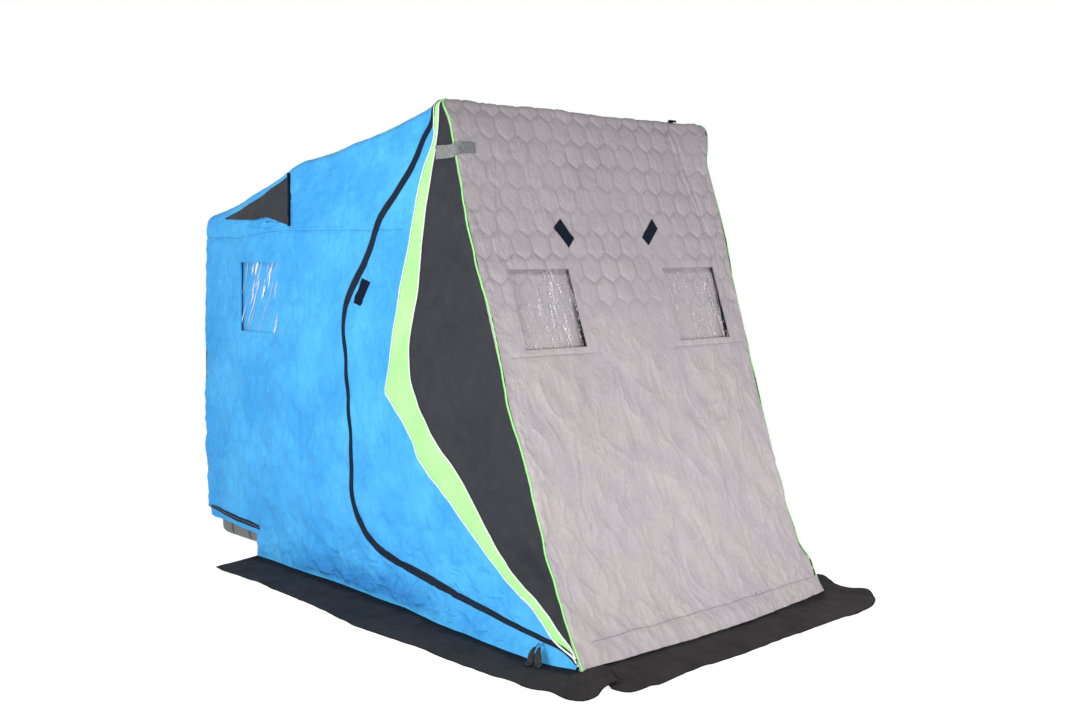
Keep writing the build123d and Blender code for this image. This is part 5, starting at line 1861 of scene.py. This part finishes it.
def sled():
    """The sled's tub: walls with upright grooves that turn under into a flat floor, and a lip.

    The outline is a rounded box; ring by ring it steps in from the lip to the wall, down the
    wall, out over a ledge at both ends under the cover's hem, round the chine as a quarter circle
    to the floor, and up again inside."""
    low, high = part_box("sled_tub")
    half, front, rear, top = high.x, low.y, FRONT + 2.548, high.z
    bottom, chine, lip, wall, corner = 0.026, 0.034, 0.016, 0.0045, 0.06
    groove_at = [
        FRONT + back for back in TUB_GROOVES if front + corner < FRONT + back < rear - corner - 0.01
    ]
    edges = sorted(y + shift for y in groove_at for shift in (-0.0115, -0.0085, 0.0085, 0.0115))
    ys = np.array([front + corner, *edges, rear - corner])
    grooved = np.array([0.0] + [1.0 if k % 4 in (1, 2) else 0.0 for k in range(len(edges))] + [0.0])
    turn = np.linspace(0, math.pi / 2, 9)[1:-1]
    left = np.stack((np.full(len(ys), -half), ys), -1)[::-1]
    corners = [
        ((-half + corner, front + corner), math.pi), ((half - corner, front + corner), 1.5 * math.pi),
        ((half - corner, rear - corner), 0.0), ((-half + corner, rear - corner), 0.5 * math.pi),
    ]
    arcs = [
        np.array(middle) + corner * np.stack((np.cos(start + turn), np.sin(start + turn)), -1)
        for middle, start in corners
    ]
    right = np.stack((np.full(len(ys), half), ys), -1)
    ends = [
        np.array(((-half + corner, front), (half - corner, front))),
        np.array(((half - corner, rear), (-half + corner, rear))),
    ]
    plan = np.vstack((left, arcs[0], ends[0], arcs[1], right, arcs[2], ends[1], arcs[3]))
    still = np.zeros(len(arcs[0]) * 2 + 2)
    groove = np.concatenate((grooved[::-1], still, grooved, still))
    middle = np.array((0.0, (front + rear) / 2))
    size = np.array((half, (rear - front) / 2))

    def ring(inset, z, deep=0.0):
        scale = 1 - (inset + deep * groove)[:, None] / size[None]
        scale[:, 1] = 1 - (inset + 0.05 * (z > 0.155)) / size[1]
        return np.column_stack(((plan - middle) * scale + middle, np.full(len(plan), z)))

    lean = half - lip - 0.63 - chine * 0.25
    quarter = np.linspace(0, math.pi / 2, 8)
    ledge = lip + lean * (top - 0.155) / (top - bottom - chine)
    rings = [
        ring(0.0, top), ring(0.0, top - 0.012), ring(lip, top - 0.013),
        ring(lip + 0.001, top - 0.022, 0.008),
    ]
    rings += [ring(ledge, 0.158, 0.008), ring(ledge, 0.152, 0.008)]
    rings += [
        ring(
            lip + lean + chine * (1 - math.cos(q)), bottom + chine * (1 - math.sin(q)),
            0.008 * math.cos(q) ** 0.5,
        )
        for q in quarter
    ]
    rings += [
        ring(
            lip + lean + chine * (1 - math.cos(q)) + wall, bottom + wall + chine * (1 - math.sin(q)),
            0.008 * math.cos(q) ** 0.5,
        )
        for q in quarter[::-1]
    ]
    rings += [
        ring(ledge + wall, 0.148, 0.008), ring(ledge + wall, 0.1555, 0.008), ring(lip + wall, top - 0.001),
    ]
    count = len(plan)
    points = np.vstack(rings)
    index = np.arange(len(points)).reshape(len(rings), count)
    following = np.roll(index, -1, 1)
    cut = len(quarter) + 5
    faces, dark = [], []
    in_groove = (groove > 0.5) & (np.roll(groove, -1) > 0.5)
    for row in range(len(rings)):
        after = (row + 1) % len(rings)
        if row == cut:
            continue
        faces += np.stack((index[row], index[after], following[after], following[row]), -1).tolist()
        # Painted shade: faces inside the grooves take the near-black groove finish
        dark += [int(in_groove[k] and 2 < row < cut) for k in range(count)]
    faces += [index[cut].tolist(), index[cut + 1][::-1].tolist()]
    if area_of(plan) < 0:
        faces = [face[::-1] for face in faces]
    tub = new_piece("sled_body", points, faces, smooth_angle=35)
    for name in ("sled", "groove"):
        tub.data.materials.append(finish(name))
    tub.data.polygons.foreach_set("material_index", np.array(dark + [0, 0], np.int32))
    put(tub, ["sled_tub"])


def frame_and_sled():
    """Finishes for the bows, plates and runners, whose shapes the frame already has."""
    for node, name in (
        ("bow_crossbars", "pole"), ("left_bow_legs", "pole"), ("right_bow_legs", "pole"),
        ("left_pivot_plate", "plate"), ("right_pivot_plate", "plate"), ("sled_runners", "runner"),
    ):
        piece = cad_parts[node]
        piece.data.materials.clear()
        piece.data.materials.append(finish(name))


# Stage


def seen_rays(nodes, links):
    """1 for rays from the camera, off shiny surfaces and through clear ones, and 0 for the rest."""
    path = nodes.new("ShaderNodeLightPath")
    seen = path.outputs["Is Camera Ray"]
    for other in ("Is Glossy Ray", "Is Transmission Ray"):
        either = nodes.new("ShaderNodeMath")
        either.operation = "MAXIMUM"
        links.new(seen, either.inputs[0])
        links.new(path.outputs[other], either.inputs[1])
        seen = either.outputs[0]
    return seen


def stage():
    """A white floor that keeps a soft shadow, even light from all round, two lamps, a camera."""
    scene = bpy.context.scene
    s = scene.shelter_stage
    mesh = bpy.data.meshes.new("ground")
    mesh.from_pydata([(-60, -60, 0), (60, -60, 0), (60, 60, 0), (-60, 60, 0)], [], [(0, 1, 2, 3)])
    ground = bpy.data.objects.new("ground", mesh)
    scene.collection.objects.link(ground)
    material = bpy.data.materials.new("Ground")
    material.use_nodes = True
    nodes, links = material.node_tree.nodes, material.node_tree.links
    nodes.clear()
    diffuse, glow, add, mix, output = (
        nodes.new(f"ShaderNode{kind}")
        for kind in ("BsdfDiffuse", "Emission", "AddShader", "MixShader", "OutputMaterial")
    )
    diffuse.inputs["Color"].default_value = (0.86, 0.86, 0.87, 1)
    glow.inputs["Strength"].default_value = 0.8
    links.new(diffuse.outputs[0], add.inputs[0])
    links.new(glow.outputs[0], add.inputs[1])
    links.new(seen_rays(nodes, links), mix.inputs[0])
    links.new(diffuse.outputs[0], mix.inputs[1])
    links.new(add.outputs[0], mix.inputs[2])
    links.new(mix.outputs[0], output.inputs[0])
    mesh.materials.append(material)

    world = bpy.data.worlds.new("Sky")
    scene.world = world
    world.use_nodes = True
    nodes, links = world.node_tree.nodes, world.node_tree.links
    nodes.clear()
    even_light, white, mix, output = (
        nodes.new(f"ShaderNode{kind}") for kind in ("Background", "Background", "MixShader", "OutputWorld")
    )
    even_light.inputs["Color"].default_value = (0.97, 0.985, 1.0, 1)
    even_light.inputs["Strength"].default_value = s.sky
    white.inputs["Color"].default_value = (1, 1, 1, 1)
    links.new(seen_rays(nodes, links), mix.inputs[0])
    links.new(even_light.outputs[0], mix.inputs[1])
    links.new(white.outputs[0], mix.inputs[2])
    links.new(mix.outputs[0], output.inputs[0])

    for name, place, target, size, power in (
        ("front_lamp", (0.2, -3.7, 0.8), (0, -0.8, 0.8), (2.4, 1.2), s.key),
        ("side_lamp", (-4.3, -1.0, 1.45), (-0.7, 0.2, 0.8), (2.4, 1.6), s.fill),
    ):
        lamp = bpy.data.lights.new(name, "AREA")
        lamp.shape, lamp.size, lamp.size_y, lamp.energy = "RECTANGLE", *size, power
        holder = bpy.data.objects.new(name, lamp)
        scene.collection.objects.link(holder)
        holder.location = place
        holder.rotation_mode = "QUATERNION"
        holder.rotation_quaternion = (Vector(target) - Vector(place)).to_track_quat("-Z", "Y")

    data = bpy.data.cameras.new("camera")
    data.lens, data.sensor_width, data.clip_end = s.lens, 36.0, 300.0
    camera = bpy.data.objects.new("camera", data)
    scene.collection.objects.link(camera)
    a, b, r = s.heading, s.tilt, s.roll
    ahead = Vector((math.sin(a) * math.cos(b), math.cos(a) * math.cos(b), math.sin(b)))
    right = Vector((math.cos(a), -math.sin(a), 0))
    up = right.cross(ahead)
    right, up = right * math.cos(r) + up * math.sin(r), up * math.cos(r) - right * math.sin(r)
    camera.matrix_world = Matrix.Translation(s.camera) @ Matrix((right, up, -ahead)).transposed().to_4x4()
    scene.camera = camera
    scene.view_settings.view_transform = "Standard"


# Operators and panel


class PieceOperator:
    bl_options = {"REGISTER", "UNDO"}

    def execute(self, context):
        self.make()
        return {"FINISHED"}


class SHELTER_OT_front_wall(PieceOperator, bpy.types.Operator):
    """Add the quilted front wall with its two window openings"""

    bl_idname = "shelter.front_wall"
    bl_label = "Front Wall"

    def make(self):
        front_wall()


class SHELTER_OT_roof(PieceOperator, bpy.types.Operator):
    """Add the two roof panels and the rear wall"""

    bl_idname = "shelter.roof"
    bl_label = "Roof and Rear Wall"

    def make(self):
        roof()


class SHELTER_OT_sides(PieceOperator, bpy.types.Operator):
    """Add the blue side panels above, behind and below the doors"""

    bl_idname = "shelter.sides"
    bl_label = "Side Panels"

    def make(self):
        for side_name in SIDES:
            upper_wall(side_name)
            rear_panel(side_name)
            lower_wall(side_name)


class SHELTER_OT_doors(PieceOperator, bpy.types.Operator):
    """Add the doors: quilted cloth, bright stripe with pale edges, and smooth front panel"""

    bl_idname = "shelter.doors"
    bl_label = "Doors"

    def make(self):
        for side_name in SIDES:
            door(side_name)
            stripe_edges(side_name)


class SHELTER_OT_zips(PieceOperator, bpy.types.Operator):
    """Add the door zips and their cord pulls"""

    bl_idname = "shelter.zips"
    bl_label = "Zips and Pulls"

    def make(self):
        for side_name in SIDES:
            zips(side_name)
        pulls()


class SHELTER_OT_piping(PieceOperator, bpy.types.Operator):
    """Add the lime piping along the front corners and the roof's edges"""

    bl_idname = "shelter.piping"
    bl_label = "Piping"

    def make(self):
        for side_name in SIDES:
            piping(side_name)


class SHELTER_OT_windows(PieceOperator, bpy.types.Operator):
    """Add the clear panes and the cloth flaps behind them"""

    bl_idname = "shelter.windows"
    bl_label = "Windows"

    def make(self):
        windows()


class SHELTER_OT_trim(PieceOperator, bpy.types.Operator):
    """Add the vents, patches, tabs, strap, hem tape and lower band"""

    bl_idname = "shelter.trim"
    bl_label = "Vents and Trim"

    def make(self):
        vents()
        patches()
        corner_strap()
        hems()


class SHELTER_OT_skirt(PieceOperator, bpy.types.Operator):
    """Add the skirt that lies on the ice"""

    bl_idname = "shelter.skirt"
    bl_label = "Skirt"

    def make(self):
        skirt()


class SHELTER_OT_frame_and_sled(PieceOperator, bpy.types.Operator):
    """Give the bows, pivot plates and sled their finishes"""

    bl_idname = "shelter.frame_and_sled"
    bl_label = "Bows and Sled"

    def make(self):
        sled()
        frame_and_sled()


class SHELTER_OT_stage(PieceOperator, bpy.types.Operator):
    """Add the floor, the light and the camera"""

    bl_idname = "shelter.stage"
    bl_label = "Stage"

    def make(self):
        stage()


OPERATORS = (
    SHELTER_OT_stage, SHELTER_OT_front_wall, SHELTER_OT_roof, SHELTER_OT_sides, SHELTER_OT_doors,
    SHELTER_OT_zips, SHELTER_OT_piping, SHELTER_OT_windows, SHELTER_OT_trim, SHELTER_OT_skirt,
    SHELTER_OT_frame_and_sled,
)


class SHELTER_PT_panel(bpy.types.Panel):
    """Lists the shelter's pieces, sizes and colours"""

    bl_label = "Ice Fishing Shelter"
    bl_idname = "SHELTER_PT_panel"
    bl_space_type = "VIEW_3D"
    bl_region_type = "UI"
    bl_category = "Shelter"

    def draw(self, context):
        for operator in OPERATORS:
            self.layout.operator(operator.bl_idname)
        for group in (
            context.scene.shelter_sizes, context.scene.shelter_colours, context.scene.shelter_stage,
        ):
            box = self.layout.box()
            for key in group.bl_rna.properties.keys():
                if key not in ("rna_type", "name"):
                    box.prop(group, key)


CLASSES = (ShelterSizes, ShelterColours, ShelterStage, *OPERATORS, SHELTER_PT_panel)
GROUPS = {"shelter_sizes": ShelterSizes, "shelter_colours": ShelterColours, "shelter_stage": ShelterStage}


def register():
    for cls in CLASSES:
        bpy.utils.register_class(cls)
    for name, group in GROUPS.items():
        setattr(bpy.types.Scene, name, PointerProperty(type=group))


def unregister():
    for name in GROUPS:
        delattr(bpy.types.Scene, name)
    for cls in reversed(CLASSES):
        bpy.utils.unregister_class(cls)


def main():
    register()
    bpy.ops.shelter.stage()
    bpy.ops.shelter.front_wall()
    bpy.ops.shelter.roof()
    bpy.ops.shelter.sides()
    bpy.ops.shelter.doors()
    bpy.ops.shelter.zips()
    bpy.ops.shelter.piping()
    bpy.ops.shelter.windows()
    bpy.ops.shelter.trim()
    bpy.ops.shelter.skirt()
    bpy.ops.shelter.frame_and_sled()


if __name__ == "__main__":
    main()
